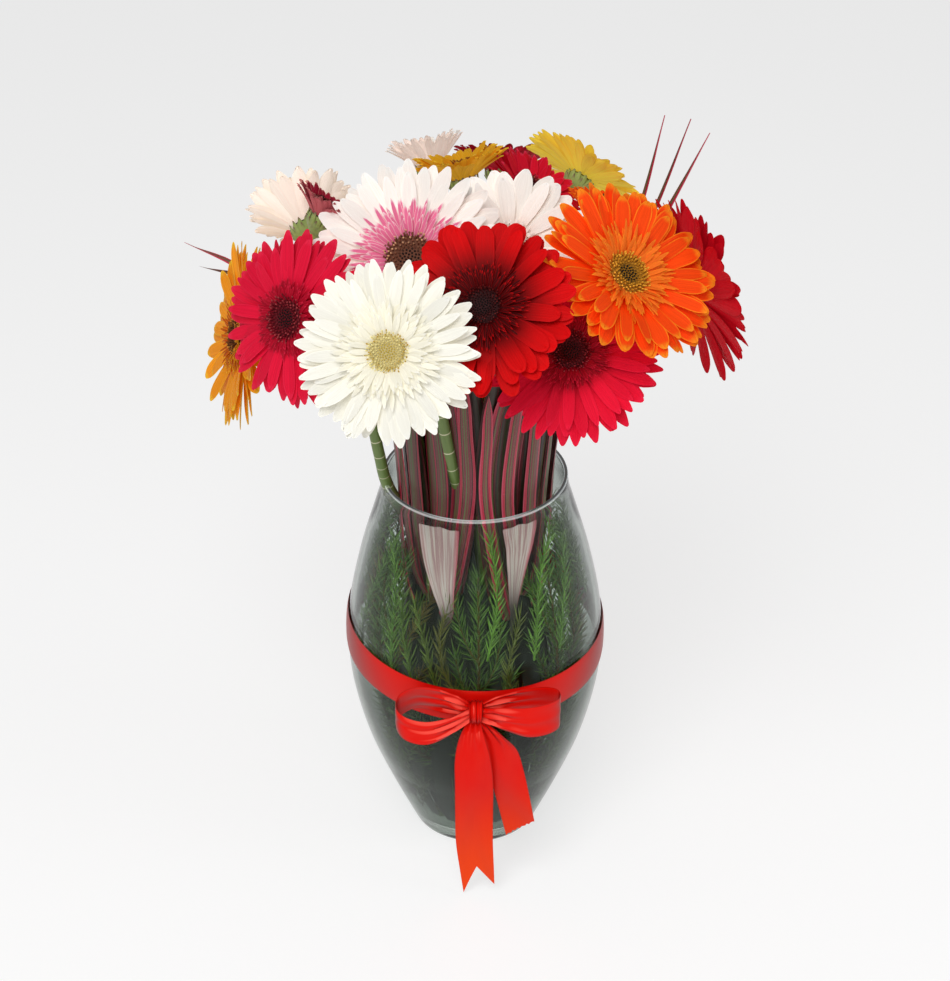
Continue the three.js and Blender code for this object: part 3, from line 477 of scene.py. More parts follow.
class Tree:
    """Short ways to add nodes to a shader node tree. Each returns the new node's output."""

    def __init__(self, tree):
        self.tree, self.link = tree, tree.links.new

    def node(self, kind, inputs=None, **settings):
        """A new node with its settings and inputs, each a value or another node's output. Unlike
        the others, this returns the node itself."""
        made = self.tree.nodes.new("ShaderNode" + kind)
        for key, value in settings.items():
            setattr(made, key, value)
        for key, value in (inputs or {}).items():
            if isinstance(value, bpy.types.NodeSocket):
                self.link(value, made.inputs[key])
            else:
                made.inputs[key].default_value = value
        return made

    def read(self, *names):
        """Named values of the surface."""
        return [self.node("Attribute", attribute_name=name).outputs["Fac"] for name in names]

    def where(self):
        return self.node("TexCoord").outputs["Object"]

    def height(self):
        return self.node("SeparateXYZ", {0: self.where()}).outputs["Z"]

    def math(self, operation, *values):
        return self.node("Math", dict(enumerate(values)), operation=operation).outputs[0]

    def times(self, a, b):
        return self.math("MULTIPLY", a, b)

    def step(self, value, low, high, to_low=0.0, to_high=1.0):
        """value taken smoothly from low..high to to_low..to_high."""
        return self.node("MapRange", {
            "Value": value, "From Min": low, "From Max": high, "To Min": to_low,
            "To Max": to_high,
        }, interpolation_type="SMOOTHSTEP").outputs["Result"]

    def place(self, *parts):
        """A point whose coordinates are values, or pairs of a value and its stretch."""
        parts = [self.times(*part) if isinstance(part, tuple) else part for part in parts]
        return self.node("CombineXYZ", dict(zip("XYZ", parts))).outputs[0]

    def noise(self, where, scale, detail=2.0, rough=0.5):
        return self.node("TexNoise", {"Vector": where, "Scale": scale, "Detail": detail,
                                      "Roughness": rough}).outputs["Fac"]

    def bands(self, where, scale, uneven):
        return self.node("TexWave", {"Vector": where, "Scale": scale,
                                     "Distortion": uneven}).outputs["Fac"]

    def mixed(self, share, a, b, blend="MIX"):
        """Colour a turned into b by a share."""
        made = self.node("Mix", data_type="RGBA", blend_type=blend)
        for key, value in (("Factor", share), ("A", a), ("B", b)):
            socket = [s for s in made.inputs if s.name == key and s.enabled][0]
            if isinstance(value, bpy.types.NodeSocket):
                self.link(value, socket)
            else:
                socket.default_value = value if key == "Factor" else (*value[:3], 1)
        return [s for s in made.outputs if s.enabled][0]

    def tinted(self, colour, tint):
        return self.mixed(1.0, colour, tint, "MULTIPLY")

    def over(self, colour, new, value, low, high, most=None):
        """A colour turned into a new one as value goes from low to high, by most at the end."""
        share = self.step(value, low, high)
        return self.mixed(self.times(share, most) if most else share, colour, new)

    def brighter(self, colour, value, gain, least):
        """A colour with its brightness changed to gain times value plus least."""
        return self.node("HueSaturation", {
            "Value": self.math("MULTIPLY_ADD", value, gain, least), "Color": colour,
        }).outputs[0]


class Finish(Tree):
    """A material while it is made. shader holds constants of its Principled BSDF, by socket name
    with _ for a space."""

    def __init__(self, name, **shader):
        self.material = bpy.data.materials.new(name)
        self.material.use_nodes = True
        super().__init__(self.material.node_tree)
        self.principled = self.tree.nodes["Principled BSDF"]
        for key, value in shader.items():
            self.principled.inputs[key.replace("_", " ")].default_value = value

    def into(self, key, value):
        self.link(value, self.principled.inputs[key])

    def glow(self, colour):
        """A painted glow: faint light of the surface's own, too weak to count as a lamp."""
        self.into("Emission Color", colour)
        self.principled.inputs["Emission Strength"].default_value = 1
        self.material.cycles.emission_sampling = "NONE"


def group(name, colours, numbers=(), glows=False):
    """A new shader node group with a colour, a height and if need be a glow coming out. Returns
    the tree, its inputs and a function that sets its outputs."""
    tree = bpy.data.node_groups.new(name, "ShaderNodeTree")
    for keys, way, kind in (
        (colours, "INPUT", "Color"), (numbers, "INPUT", "Float"), (["Colour"], "OUTPUT", "Color"),
        (["Height"], "OUTPUT", "Float"), (["Glow"] if glows else [], "OUTPUT", "Color"),
    ):
        for key in keys:
            tree.interface.new_socket(key, in_out=way, socket_type="NodeSocket" + kind)
    inputs = tree.nodes.new("NodeGroupInput").outputs
    outputs = tree.nodes.new("NodeGroupOutput").inputs

    def put(**values):
        for key, value in values.items():
            tree.links.new(value, outputs[key])

    return Tree(tree), inputs, put


def finish_of(name, markings, inputs, bump=0.3, bump_distance=0.0004, **shader):
    """A material whose colour, bump and glow come from a node group with the given inputs."""
    finish = Finish(name, **shader)
    used = finish.node("Group", node_tree=markings.tree)
    for key, value in inputs.items():
        used.inputs[key].default_value = (*value, 1) if hasattr(value, "__len__") else value
    finish.into("Base Color", used.outputs["Colour"])
    raised = finish.node("Bump", {"Strength": bump, "Distance": bump_distance,
                                  "Height": used.outputs["Height"]})
    finish.into("Normal", raised.outputs["Normal"])
    if "Glow" in used.outputs:
        finish.glow(used.outputs["Glow"])
    return finish


def ray_markings():
    """A ray's colours: throat to body to edge along it, its back, fine long veins that waver a
    little, and a shade of its own. Light that comes through it is painted as a faint glow,
    on its back most of all."""
    t, given, put = group("ray_markings", ("Body", "Edge", "Throat", "Back", "Inner"),
                          ("Veins", "Throat End", "Through", "Through Back"), glows=True)
    along, across, face, shade, inner = t.read("along", "across", "face", "shade", "inner")
    waver = t.noise(t.place(across, along, (shade, 31.0)), 3.0)
    wavy = t.math("ADD", across, t.times(waver, 0.16))
    veins = t.noise(t.place((wavy, 9.0), (along, 0.7), (shade, 53.0)), 1.0, 3.0, 0.6)
    veins = t.step(veins, 0.35, 0.65)
    throat_end = given["Throat End"]
    colour = t.over(given["Throat"], given["Body"], along, t.times(throat_end, 0.25), throat_end)
    colour = t.mixed(inner, colour, given["Inner"])
    sides = t.times(t.step(along, 0.5, 0.9), t.step(t.math("ABSOLUTE", across), 0.80, 1.0))
    rim = t.math("MAXIMUM", t.step(along, 0.90, 1.0), sides)
    rim = t.times(rim, t.math("MULTIPLY_ADD", waver, 0.5, 0.5))
    colour = t.mixed(rim, colour, given["Edge"])
    colour = t.over(colour, given["Back"], face, 0.75, 0.25)
    deep = t.times(t.math("SUBTRACT", 1.0, veins), given["Veins"])
    colour = t.mixed(deep, colour, t.tinted(colour, (0.62, 0.58, 0.55)))
    bright = t.brighter(colour, shade, 0.16, 0.92)
    # Painted glow that stands in for light coming through the ray, more on its back.
    through = t.math("MULTIPLY_ADD", t.step(face, 0.75, 0.25), given["Through Back"],
                     given["Through"])
    put(Colour=bright, Height=veins, Glow=t.mixed(through, (0.0, 0.0, 0.0), bright))
    return t


def floret_markings():
    """A disc floret's colours: by its place from the eye to the rim, darker at its foot, and pale
    specks on the tips of some."""
    t, given, put = group("floret_markings", ("Eye", "Florets", "Specks"))
    ring, tip, shade = t.read("ring", "tip", "shade")
    colour = t.over(given["Eye"], given["Florets"], ring, 0.36, 0.6)
    pale = t.times(t.step(tip, 0.55, 1.0), t.step(ring, 0.5, 0.75))
    colour = t.mixed(t.times(pale, t.step(shade, 0.35, 0.6)), colour, given["Specks"])
    colour = t.over(colour, t.tinted(colour, (0.35, 0.3, 0.3)), tip, 0.5, 0.0, 0.55)
    put(Colour=colour, Height=t.noise(t.where(), 2500.0))
    return t


def stem_markings():
    """A stem's green with paler patches, long fibres, and darker tips on the bracts."""
    t, given, put = group("stem_markings", ("Green",))
    along, across, bract = t.read("along", "across", "bract")
    fibres = t.noise(t.place((across, 14.0), (along, 6.0), 0.5), 2.0, 3.0)
    pale = t.mixed(0.45, given["Green"], (0.42, 0.5, 0.16))
    colour = t.over(given["Green"], pale, t.noise(t.where(), 60.0), 0.35, 0.7)
    colour = t.over(colour, t.tinted(colour, (0.45, 0.5, 0.4)), fibres, 0.6, 0.3, 0.4)
    tips = t.times(bract, t.step(along, 0.6, 1.0))
    put(Colour=t.mixed(tips, colour, (0.16, 0.07, 0.05)), Height=fibres)
    return t


def leaf_markings():
    """A striped leaf: crimson edges with a near-black line inside them, an olive middle with fine
    crimson and pale stripes, small whitish specks, and a shade of its own. Sheaths are whitish
    pink, canes green with pale rings. Painted shade turns nearly black the leaves that line the
    vase, and darkens the looser leaves further in and the lower parts of the sheaths and canes."""
    t, given, put = group("leaf_markings", ("Margin", "Middle"))
    along, across, shade, pale, dark, cane = t.read("along", "across", "shade", "pale", "dark",
                                                    "cane")
    row = t.times(shade, 47.0)
    stripes = t.noise(t.place((across, 5.0), along, row), 1.3, 3.0, 0.75)
    wander = t.noise(t.place(along, row), 4.0)
    edge = t.math("ADD", t.math("ABSOLUTE", across), t.math("MULTIPLY_ADD", wander, 0.4, -0.2))
    edge = t.math("ADD", edge, t.math("MULTIPLY_ADD", shade, 0.36, -0.18))
    colour = t.over(given["Middle"], (0.19, 0.024, 0.040), stripes, 0.43, 0.52)
    colour = t.over(colour, (0.13, 0.17, 0.08), stripes, 0.42, 0.34)
    line = t.times(t.step(edge, 0.46, 0.52), t.step(edge, 0.62, 0.56))
    colour = t.mixed(line, colour, (0.030, 0.008, 0.010))
    colour = t.over(colour, given["Margin"], edge, 0.58, 0.66)
    colour = t.over(colour, (0.50, 0.07, 0.12), edge, 0.86, 0.98, 0.7)
    specks = t.noise(t.place((across, 16.0), (along, 110.0), row), 2.0, 3.0, 0.7)
    colour = t.over(colour, (0.55, 0.50, 0.46), specks, 0.62, 0.72, 0.5)
    sheath = t.over((0.68, 0.54, 0.54), (0.42, 0.24, 0.25), stripes, 0.40, 0.6)
    sheath = t.over(sheath, (0.48, 0.06, 0.10), across, 0.75, 0.95, 0.8)
    colour = t.mixed(pale, t.brighter(colour, shade, 0.65, 0.6), sheath)
    # Painted shade: parts that stand in shade in the vase are turned nearly black.
    shade_lining = t.mixed(stripes, (0.006, 0.010, 0.006), (0.014, 0.022, 0.012))
    colour = t.mixed(dark, colour, shade_lining)
    rings = t.bands(t.place(along), 0.8, 0.3)
    green = t.mixed(stripes, (0.08, 0.14, 0.03), (0.19, 0.27, 0.07))
    green = t.over(green, (0.62, 0.62, 0.40), rings, 0.985, 0.999)
    put(Colour=t.mixed(cane, colour, green), Height=stripes)
    return t


def needle_markings():
    """A needle's green: brighter at its tip and on young shoots, a shade of its own, and rust
    on old ones."""
    t, given, put = group("needle_markings", ("Green",))
    along, shade, rust, young = t.read("along", "shade", "rust", "young")
    bright = t.mixed(0.6, given["Green"], (0.18, 0.30, 0.06))
    colour = t.mixed(t.times(along, shade), given["Green"], bright)
    colour = t.mixed(young, colour, (0.13, 0.26, 0.035))
    colour = t.mixed(rust, colour, (0.16, 0.05, 0.02))
    put(Colour=t.brighter(colour, shade, 0.9, 0.6), Height=t.noise(t.where(), 900.0))
    return t


def satin_markings():
    """Satin: a fine twill of threads across the ribbon, colour slightly darker along both edges,
    faint unevenness along it, and painted light: a brighter, warmer red low down."""
    t, given, put = group("satin_markings", ("Satin",))
    along, across = t.read("along", "across")
    satin = given["Satin"]
    cloudy = t.noise(t.place((along, 60.0), across), 1.2)
    colour = t.over(satin, t.tinted(satin, (0.45, 0.3, 0.3)), t.math("ABSOLUTE", across),
                    0.93, 0.99, 0.7)
    colour = t.mixed(t.times(cloudy, 0.5), colour, t.mixed(0.35, satin, (0.95, 0.05, 0.01)))
    # Painted light: the red is brighter and warmer low down.
    colour = t.over(colour, (0.95, 0.07, 0.004), t.height(), 0.11, 0.01, 0.8)
    put(Colour=colour, Height=t.bands(t.place((along, 1000.0), (across, 4.0)), 0.9, 0.6))
    return t


# Vase

def outer_radius(z):
    """The glass's outer radius at a height, read off the smooth outline."""
    curve = spline(VASE_OUTLINE, 160)
    return np.interp(z, curve[:, 1], curve[:, 0])


def inner_radius(z):
    return outer_radius(z) - bpy.context.scene.gerbera_vase.wall / MM


def clear(name, tint, ior):
    """Clear glass or water: a Principled BSDF that lets light through, and for rays that look
    for a lamp a plain tint, so that what stands behind is lit."""
    finish = Finish(name, Base_Color=(*tint, 1), Transmission_Weight=1, Roughness=0, IOR=ior,
                    Specular_Tint=(0.35, 0.35, 0.35, 1))
    lamp = finish.node("BsdfTransparent", {"Color": (*tint, 1)})
    shadow = finish.node("LightPath").outputs["Is Shadow Ray"]
    both = finish.node("MixShader", {0: shadow, 1: finish.principled.outputs[0],
                                     2: lamp.outputs[0]})
    finish.link(both.outputs[0], finish.tree.nodes["Material Output"].inputs["Surface"])
    return finish


def paint_glass_shade_and_highlight(glass, tint):
    """Painted shade and highlight: the glass is coloured darker where it is seen at a slant and low
    down, and its lip is left untinted with a painted glow.
    """
    slant = glass.node("LayerWeight", {"Blend": 0.35}).outputs["Facing"]
    height = glass.height()
    # Painted shade: the tint turns nearly black where the glass is seen at a slant.
    shaded = glass.over(tint, (0.13, 0.145, 0.135), slant, 0.1, 0.75)
    # Painted shade: the glass is coloured darker low down.
    deep = glass.tinted(shaded, (0.6, 0.63, 0.6))
    shaded = glass.over(shaded, deep, height, PAINTED_SHADE_BELOW + 0.03, PAINTED_SHADE_BELOW)
    # The lip is left untinted, and a painted highlight glows on it, most on its lower part.
    lip = glass.step(height, LIP_HIGHLIGHT_FROM - 0.0004, LIP_HIGHLIGHT_FROM)
    glass.into("Base Color", glass.mixed(lip, shaded, (1.0, 1.0, 1.0)))
    line = glass.step(height, LIP_HIGHLIGHT_FROM + 0.0013, LIP_HIGHLIGHT_FROM + 0.0009, 0.2, 1.0)
    glass.glow(glass.mixed(glass.times(lip, line), (0.0, 0.0, 0.0), (0.34, 0.36, 0.36)))


class GERBERAS_OT_vase(bpy.types.Operator):
    """Makes the glass vase and the water in it"""
    bl_idname = "gerberas.vase"
    bl_label = "Vase and water"

    def execute(self, context):
        settings = context.scene.gerbera_vase
        wall, level = settings.wall / MM, settings.level / MM
        high = np.linspace(1.5, RIM, 56)
        outside = np.stack([outer_radius(high), high], 1)
        a = np.radians(np.linspace(20, 160, 7))
        lip = np.stack([outer_radius(RIM) - LIP_RADIUS + LIP_RADIUS * np.cos(a),
                        RIM + 1 - LIP_RADIUS + LIP_RADIUS * np.sin(a)], 1)
        down = np.linspace(RIM - 1, GLASS_FLOOR + 6, 50)
        thin = (wall - 2 * LIP_RADIUS) * blendwise(down, RIM - 40, RIM)
        inside = np.stack([inner_radius(down) + thin, down], 1)
        corner = inner_radius(GLASS_FLOOR + 6)
        bowl = np.array([
            [corner - 1.2, GLASS_FLOOR + 3.2], [corner - 4, GLASS_FLOOR + 1.2],
            [corner - 9, GLASS_FLOOR + 0.3], [corner - 22, GLASS_FLOOR], [0.4, GLASS_FLOOR],
        ])
        glass = Skin()
        glass.add(turned(np.vstack([VASE_FOOT, outside, lip, inside, bowl])[::-1], 96), loop=True)
        clear_glass = clear("clear_glass", settings.glass, GLASS_IOR)
        paint_glass_shade_and_highlight(clear_glass, settings.glass)
        glass.piece("glass_vase", clear_glass, "clear_glass", "vase")
        up = np.linspace(GLASS_FLOOR + 6, level, 16)
        side = np.stack([inner_radius(up) + 0.15, up], 1)
        edge = side[-1, 0]
        surface = [[edge - 1.5, level - 0.6], [edge - 4, level - 0.9], [0.4, level - 0.9]]
        water = Skin()
        water.add(turned(np.vstack([bowl[::-1] + (0.1, -0.1), side, surface])[::-1], 96),
                  loop=True)
        water.piece("water_in_vase", clear("still_water", settings.water, WATER_IOR), "water",
                    "water")
        return {"FINISHED"}


# Ribbon

def band_height(degrees):
    """Height of the band's middle: even, less the dip by a cosine."""
    return BAND_HEIGHT - BAND_DIP * np.cos(np.radians(degrees - DIP_AT))


def cloth(skin, line, across, half, thickness, ripple, length, reach=None):
    """A thin closed strip. For each row along the centre line, threads are set at equal shares
    from -1 to 1 across it, moved off its face by a ripple and then thickened to both sides. The
    ring runs round the strip's cross-section. reach, from 0 to 1 for each thread, says how far
    along the line it goes, for cut ends."""
    centre, rows = line[:, :3], len(line)
    reach = np.ones(len(THREADS)) if reach is None else reach
    t = np.linspace(0, 1, rows)[:, None] * reach[None, :] * (rows - 1)

    def at(values):
        return np.stack([np.interp(t, np.arange(rows), values[:, k]) for k in range(3)], -1)

    side = unit(at(across))
    middle, along = at(centre), unit(at(np.gradient(centre, axis=0)))
    face = unit(np.cross(along, side))
    half = np.interp(t, np.arange(rows), half)[..., None]
    points = middle + side * THREADS[None, :, None] * half + face * ripple[..., None]
    tucked = thickness / 2 * np.minimum(1, 6 * (1.02 - np.abs(THREADS)))[None, :, None]
    top, under = points - face * tucked, (points + face * tucked)[:, ::-1]
    run = np.concatenate([t, t[:, ::-1]], 1) / (rows - 1)
    skin.add(np.concatenate([top, under], 1), folded=True, along=run * length,
             across=np.concatenate([THREADS, THREADS[::-1]]))


def painted_sheen(satin):
    """Painted sheen and shade: the satin is coloured brightest where it faces the eye and darker
    where it turns away.
    """
    plain = satin.principled.inputs["Base Color"].links[0].from_socket
    slant = satin.node("LayerWeight", {"Blend": 0.5}).outputs["Facing"]
    lit = satin.over(plain, (1.0, 0.085, 0.06), slant, 0.16, 0.0)
    dark = satin.tinted(plain, (0.42, 0.22, 0.26))
    satin.into("Base Color", satin.over(lit, dark, slant, 0.2, 0.8))


def band(satin, thick, width):
    """The band lies round the glass: at each step round, its cross-section follows the wall's
    slope 0.9 mm outside it, bowed a little."""
    degrees = np.arange(0, 360, 2.5)
    shares = np.linspace(1, -1, 9)
    z = band_height(degrees)[:, None] + shares * width / 2
    bowed = 0.9 + 0.25 * (1 - shares ** 2)
    edge = thick / 2 * np.minimum(1, 8 * (1.01 - np.abs(shares)))
    over = round_axis(outer_radius(z) + bowed + edge, degrees[:, None], z)
    under = round_axis(outer_radius(z) + bowed - edge, degrees[:, None], z)[:, ::-1]
    skin = Skin("along", "across")
    length = 2 * np.pi * BAND_RADIUS * MM
    skin.add(np.concatenate([over, under], 1), loop=True,
             across=np.concatenate([shares, shares[::-1]]),
             along=(degrees / 360 * length)[:, None])
    piece = skin.piece("satin_band", satin, "red_satin", "ribbon_band", crease=50)


def bow(satin, thick):
    """Each loop is a strip on a closed route out from the knot and back, upright, gathered into
    pleats near the knot. The knot is a band wound round them."""
    skin = Skin("along", "across")
    for route in LOOPS:
        line = spline(route, 120)
        lean, gathered = np.radians(line[:, 4]), line[:, 5:6]
        across = np.stack([np.zeros(120), -np.sin(lean), np.cos(lean)], 1)
        pleats = np.cos(3.2 * np.pi * THREADS + 0.6) + 0.5 * np.cos(5.3 * np.pi * THREADS)
        soft = 0.45 * np.sin(2.1 * np.pi * THREADS[None, :] + 5 * line[:, 3:4] / 9)
        ripple = 1.2 * gathered * pleats[None, :] + soft * (0.25 + gathered)
        cloth(skin, line, across, line[:, 3] / 2, thick, ripple, 0.14)
    turn = np.radians(np.arange(0, 360, 9))[:, None]
    crease = 0.5 * np.cos(4.5 * np.pi * THREADS + 0.8) + 0.25 * np.cos(9 * np.pi * THREADS)
    pinch = 1 - 0.12 * np.abs(THREADS) ** 2
    reach, tall = (6.4 * pinch + crease)[None, :], (8.0 * pinch + crease)[None, :]
    x = 4.2 * THREADS[None, :] * (1 + 0.10 * np.sin(turn))

    def wound(offset):
        return np.stack(np.broadcast_arrays(
            KNOT[0] + x, KNOT[1] - (reach + offset) * np.cos(turn),
            KNOT[2] + (tall + offset) * np.sin(turn)), -1)

    skin.add(np.concatenate([wound(thick / 2), wound(-thick / 2)[:, ::-1]], 1), loop=True,
             across=np.concatenate([THREADS, THREADS[::-1]]), along=turn * 0.008)
    piece = skin.piece("satin_bow", satin, "red_satin", "ribbon_bow", crease=50)


def tails(satin, thick):
    """Each tail is a strip down a smooth line, swelling from the knot to its full width; its cut
    end is how far each thread reaches."""
    notch = 1 - 0.15 * (1 - np.abs(THREADS)) + 0.045 * (THREADS < 0) * THREADS
    slant = 0.93 + 0.065 * THREADS + 0.006 * np.cos(31 * THREADS)
    for name, route, reach, length, tip in (("tail_left", LEFT_TAIL, notch, 0.148, 0.06),
                                            ("tail_right", RIGHT_TAIL, slant, 0.105, -0.10)):
        line = spline(route, 70)
        across = np.stack([np.ones(70), np.zeros(70), np.full(70, tip)], 1)
        ripple = line[:, 4:5] * np.cos(3 * np.pi * THREADS)[None, :]
        wave = 1.3 * np.sin(np.linspace(0, 9, 70))[:, None] * np.sin(2.2 * THREADS + 0.7)[None, :]
        tail = Skin("along", "across")
        cloth(tail, line, -across, line[:, 3], thick, ripple + wave, length, reach)
        piece = tail.piece("satin_" + name, satin, "red_satin", "ribbon_" + name, crease=50)


class GERBERAS_OT_ribbon(bpy.types.Operator):
    """Makes the satin band round the vase, the bow and its tails"""
    bl_idname = "gerberas.ribbon"
    bl_label = "Ribbon"

    def execute(self, context):
        settings = context.scene.gerbera_ribbon
        thick, width = settings.thickness / MM, settings.width / MM
        satin = finish_of(
            "red_satin", satin_markings(), {"Satin": settings.colour}, bump=0.12,
            bump_distance=0.0001, Roughness=0.36, Specular_IOR_Level=0.3,
            Specular_Tint=(1.0, 0.28, 0.22, 1.0),
        )
        painted_sheen(satin)
        band(satin, thick, width)
        bow(satin, thick)
        tails(satin, thick)
        return {"FINISHED"}


# Flowers

def placed(points, head):
    """Points in a head's own frame (across, up and the way that it faces), brought to its
    place."""
    facing = head.facing()
    across = unit(np.cross((0.0, 0.0, 1.0), facing))
    return points @ np.stack([across, np.cross(facing, across), facing]) + np.array(head.at, float)


def rays(angles, reach, rise, droop, width, start, thickness, point, seed, steps=12, slim=False):
    """Many rays at once, in a head's own frame. A ray's centre line leaves the receptacle at
    start (radius, height); its slope goes from rise degrees down by droop along it. Its half
    width swells from a narrow claw, stays even, and from its shoulder closes in a tip with
    three small teeth, blunt or pointed. Its upper face has two shallow grooves, its lower face
    one keel; a slim ray has a plain four-cornered cross-section."""
    wobble = draws(seed, len(angles), 6)
    u = 1 - (1 - np.linspace(0, 1, steps)) ** 1.6
    length = (reach - start[0])[:, None]
    slope = np.radians(rise[:, None] + 3.5 * wobble[:, :1] - droop[:, None] * u ** 1.6)
    ds = np.diff(u, prepend=0)[None, :] * length
    r = start[0] + np.cumsum(ds * np.cos(slope), 1)
    z = start[1] + np.cumsum(ds * np.sin(slope), 1)
    swell = 0.5 + 0.5 * blendwise(u, 0.0, 0.55)
    shoulder = 0.80 - 0.25 * point
    closing = np.clip((u - shoulder) / (1 - shoulder), 0, 1)
    close = (1 - closing ** (3.2 - 1.2 * point)) ** 0.6
    close = np.maximum(close, 0.22 - 0.16 * point)
    half = (width / 2 * swell * close * (1 + 0.14 * wobble[:, 1:2]))[..., None]
    shares, top, under, face = SLIM_RAY if slim else RAY
    hollow = 0.09 + 0.12 * wobble[:, 2]
    y = half * shares
    lift = half * hollow[:, None, None] * (shares ** 2 - 0.3)
    skin = thickness * (0.5 + 0.5 * np.sin(np.pi * np.clip(u, 0.08, 0.92)))[None, :, None]
    lift = lift + skin * (0.7 * top - 0.6 * under)
    tooth = 0.8 * np.cos(2 * np.pi * shares)[None, None, :] * (u > 0.95)[None, :, None]
    twist = np.radians(20 * wobble[:, 3:4] * u)[..., None]
    y, lift = y * np.cos(twist) - lift * np.sin(twist), y * np.sin(twist) + lift * np.cos(twist)
    y = y + (0.6 * wobble[:, 4:5] * 4.0 * u ** 2)[..., None]
    x = r[..., None] - np.sin(slope)[..., None] * lift + tooth
    height = z[..., None] + np.cos(slope)[..., None] * lift
    points = spun(x, y, height, (angles + 0.05 * wobble[:, 5])[:, None, None])
    return points, dict(along=u[None, :, None], across=shares, face=face,
                        shade=as_share(wobble[:, 0])[:, None, None])


def head_rays(head, seed, thickness, markings):
    """Three layers of rays, each shorter, narrower and steeper than the one below, and three
    rings of thin strands round the disc."""
    skin = Skin("along", "across", "face", "shade", "inner")
    n, size = head.rays, head.radius
    wide = 2 * np.pi * 0.7 * size / n
    # How many rays, their reach and width as shares, height, rise and looseness
    layers = (
        (n, 1.0, 1.18, -4.5, head.cup - 1, 1.0), (n - 2, 0.97, 1.1, -3.4, head.cup + 2, 1.5),
        (2 * n // 3, 0.89, 0.92, -2.3, head.cup + 5, 2.2),
    )
    for k, (count, reach, width, height, rise, loose) in enumerate(layers):
        uneven = draws(seed + k, count, 3)
        angles = 2 * np.pi * (np.arange(count) + 0.5 * k) / count
        points, values = rays(
            angles + 0.03 * loose * uneven[:, 1],
            size * reach * (1 - 0.025 * (1 + head.wild) * (1 + uneven[:, 0])),
            rise + 5 * head.wild * uneven[:, 2], 12 + 10 * head.wild * uneven[:, 0],
            wide * width, (RAY_START, height), thickness, head.point, seed + k + 3,
        )
        skin.add(placed(points, head), inner=0.0, **values)
    for k, (count, reach) in enumerate((
        (head.fringe, 0.62), (head.fringe, 0.8), (head.fringe - 6, 1.0),
    )):
        uneven = draws(seed + 20 + k, count, 3)
        reach = (head.strands * size - head.disc * 0.5) * reach * (1 + 0.15 * uneven[:, 0])
        points, values = rays(
            2 * np.pi * (np.arange(count) + 0.4 * k) / count, head.disc * 0.8 + reach,
            head.cup + 30 - 7 * k + 9 * uneven[:, 1], 30 + 16 * uneven[:, 2], head.fine,
            (head.disc * 0.72, 1.2 - 0.6 * k), thickness, 0.5, seed + k + 23, steps=6, slim=True,
        )
        skin.add(placed(points, head), inner=1.0, **values)
    bright = sum(srgb(head.body)) > 1.6
    petals = finish_of(
        head.name + "_petals", markings,
        {"Body": srgb(head.body), "Edge": srgb(head.edge), "Throat": srgb(head.throat),
         "Back": srgb(head.back), "Inner": srgb(head.inner or head.throat),
         "Veins": 0.13 if bright else 0.36, "Throat End": head.deep,
         # Through and Through Back set the painted glow that stands in for light coming through the
         # rays
         "Through": 0.035 if bright else 0.02, "Through Back": 0.14 if bright else 0.22},
        bump=0.35, bump_distance=0.0003, Roughness=0.6, Specular_IOR_Level=0.1,
    )
    skin.piece(head.name + "_petals", petals, head.name + "_rays", head.name + "_rays")


def head_disc(head, seed, count, markings):
    """A low dome under a spiral of florets: the kth stands at the golden angle times k and at a
    radius that grows as the square root of k. Buds fill the middle, and open florets stand
    taller towards the rim."""
    skin = Skin("ring", "tip", "shade")
    size = head.disc
    seat = 1.0 + max(0.0, size - 9) * math.tan(math.radians(head.cup + 8))

    def rise(share):
        return seat + 1.2 + 1.6 * np.exp(-((share - 0.68) / 0.22) ** 2) - 0.6 * share

    share = np.linspace(0.02, 1.0, 12)
    dome = np.vstack([np.stack([share * size, rise(share) - 0.8], 1)[::-1],
                      [[0.1, -1.5], [7.0, -1.5]]])
    skin.add(placed(turned(dome[::-1], 30), head), loop=True, ring=0.6, tip=0.1, shade=0.2)
    k = np.arange(count)
    share = np.sqrt((k + 0.5) / count)
    turn = np.radians(GOLDEN_ANGLE) * k
    uneven = draws(seed, count, 4)
    radius = share * size * 0.97
    foot = np.stack([radius * np.cos(turn), radius * np.sin(turn), rise(share) - 1.0], 1)
    out = np.stack([np.cos(turn), np.sin(turn), np.zeros(count)], 1)
    lean = (blendwise(share, 0.45, 1.0) * 0.75 + 0.25 * uneven[:, 0] * share)[:, None]
    way = unit(out * lean + np.array([0, 0, 1.0]) + 0.12 * uneven[:, 1:4])
    tall = 1.2 + (2.0 + 0.9 * uneven[:, 0]) * blendwise(share, 0.42, 0.75)
    t = np.array([0, 0.5, 0.82, 1.0])
    path = foot[:, None, :] + way[:, None, :] * (tall[:, None] * t)[..., None]
    opened = blendwise(share, 0.45, 0.7)[:, None]
    girth = size / 12 * (0.52 * np.array([1, 1.05, 0.9, 0.35])
                         + opened * np.array([-0.1, -0.12, 0.08, 0.22]))
    skin.add(placed(rings_along(path, girth, 5), head), ring=share[:, None, None],
             tip=t[None, :, None], shade=as_share(uneven[:, 3])[:, None, None])
    florets = finish_of(
        head.name + "_florets", markings,
        {"Eye": srgb(head.eye), "Florets": srgb(head.florets), "Specks": srgb(head.specks)},
        bump=0.4, bump_distance=0.0002, Roughness=0.7, Specular_IOR_Level=0.25,
    )
    skin.piece(head.name + "_florets", florets, head.name + "_disc", head.name + "_disc")


class GERBERAS_OT_flowers(bpy.types.Operator):
    """Makes the rays and the disc of every flower"""
    bl_idname = "gerberas.flowers"
    bl_label = "Flowers"

    def execute(self, context):
        settings = context.scene.gerbera_flowers
        petals, florets = ray_markings(), floret_markings()
        for number, head in enumerate(HEADS):
            head_rays(head, number * 10 + 1, settings.thickness / MM, petals)
            head_disc(head, number * 10 + 7, settings.florets, florets)
        return {"FINISHED"}


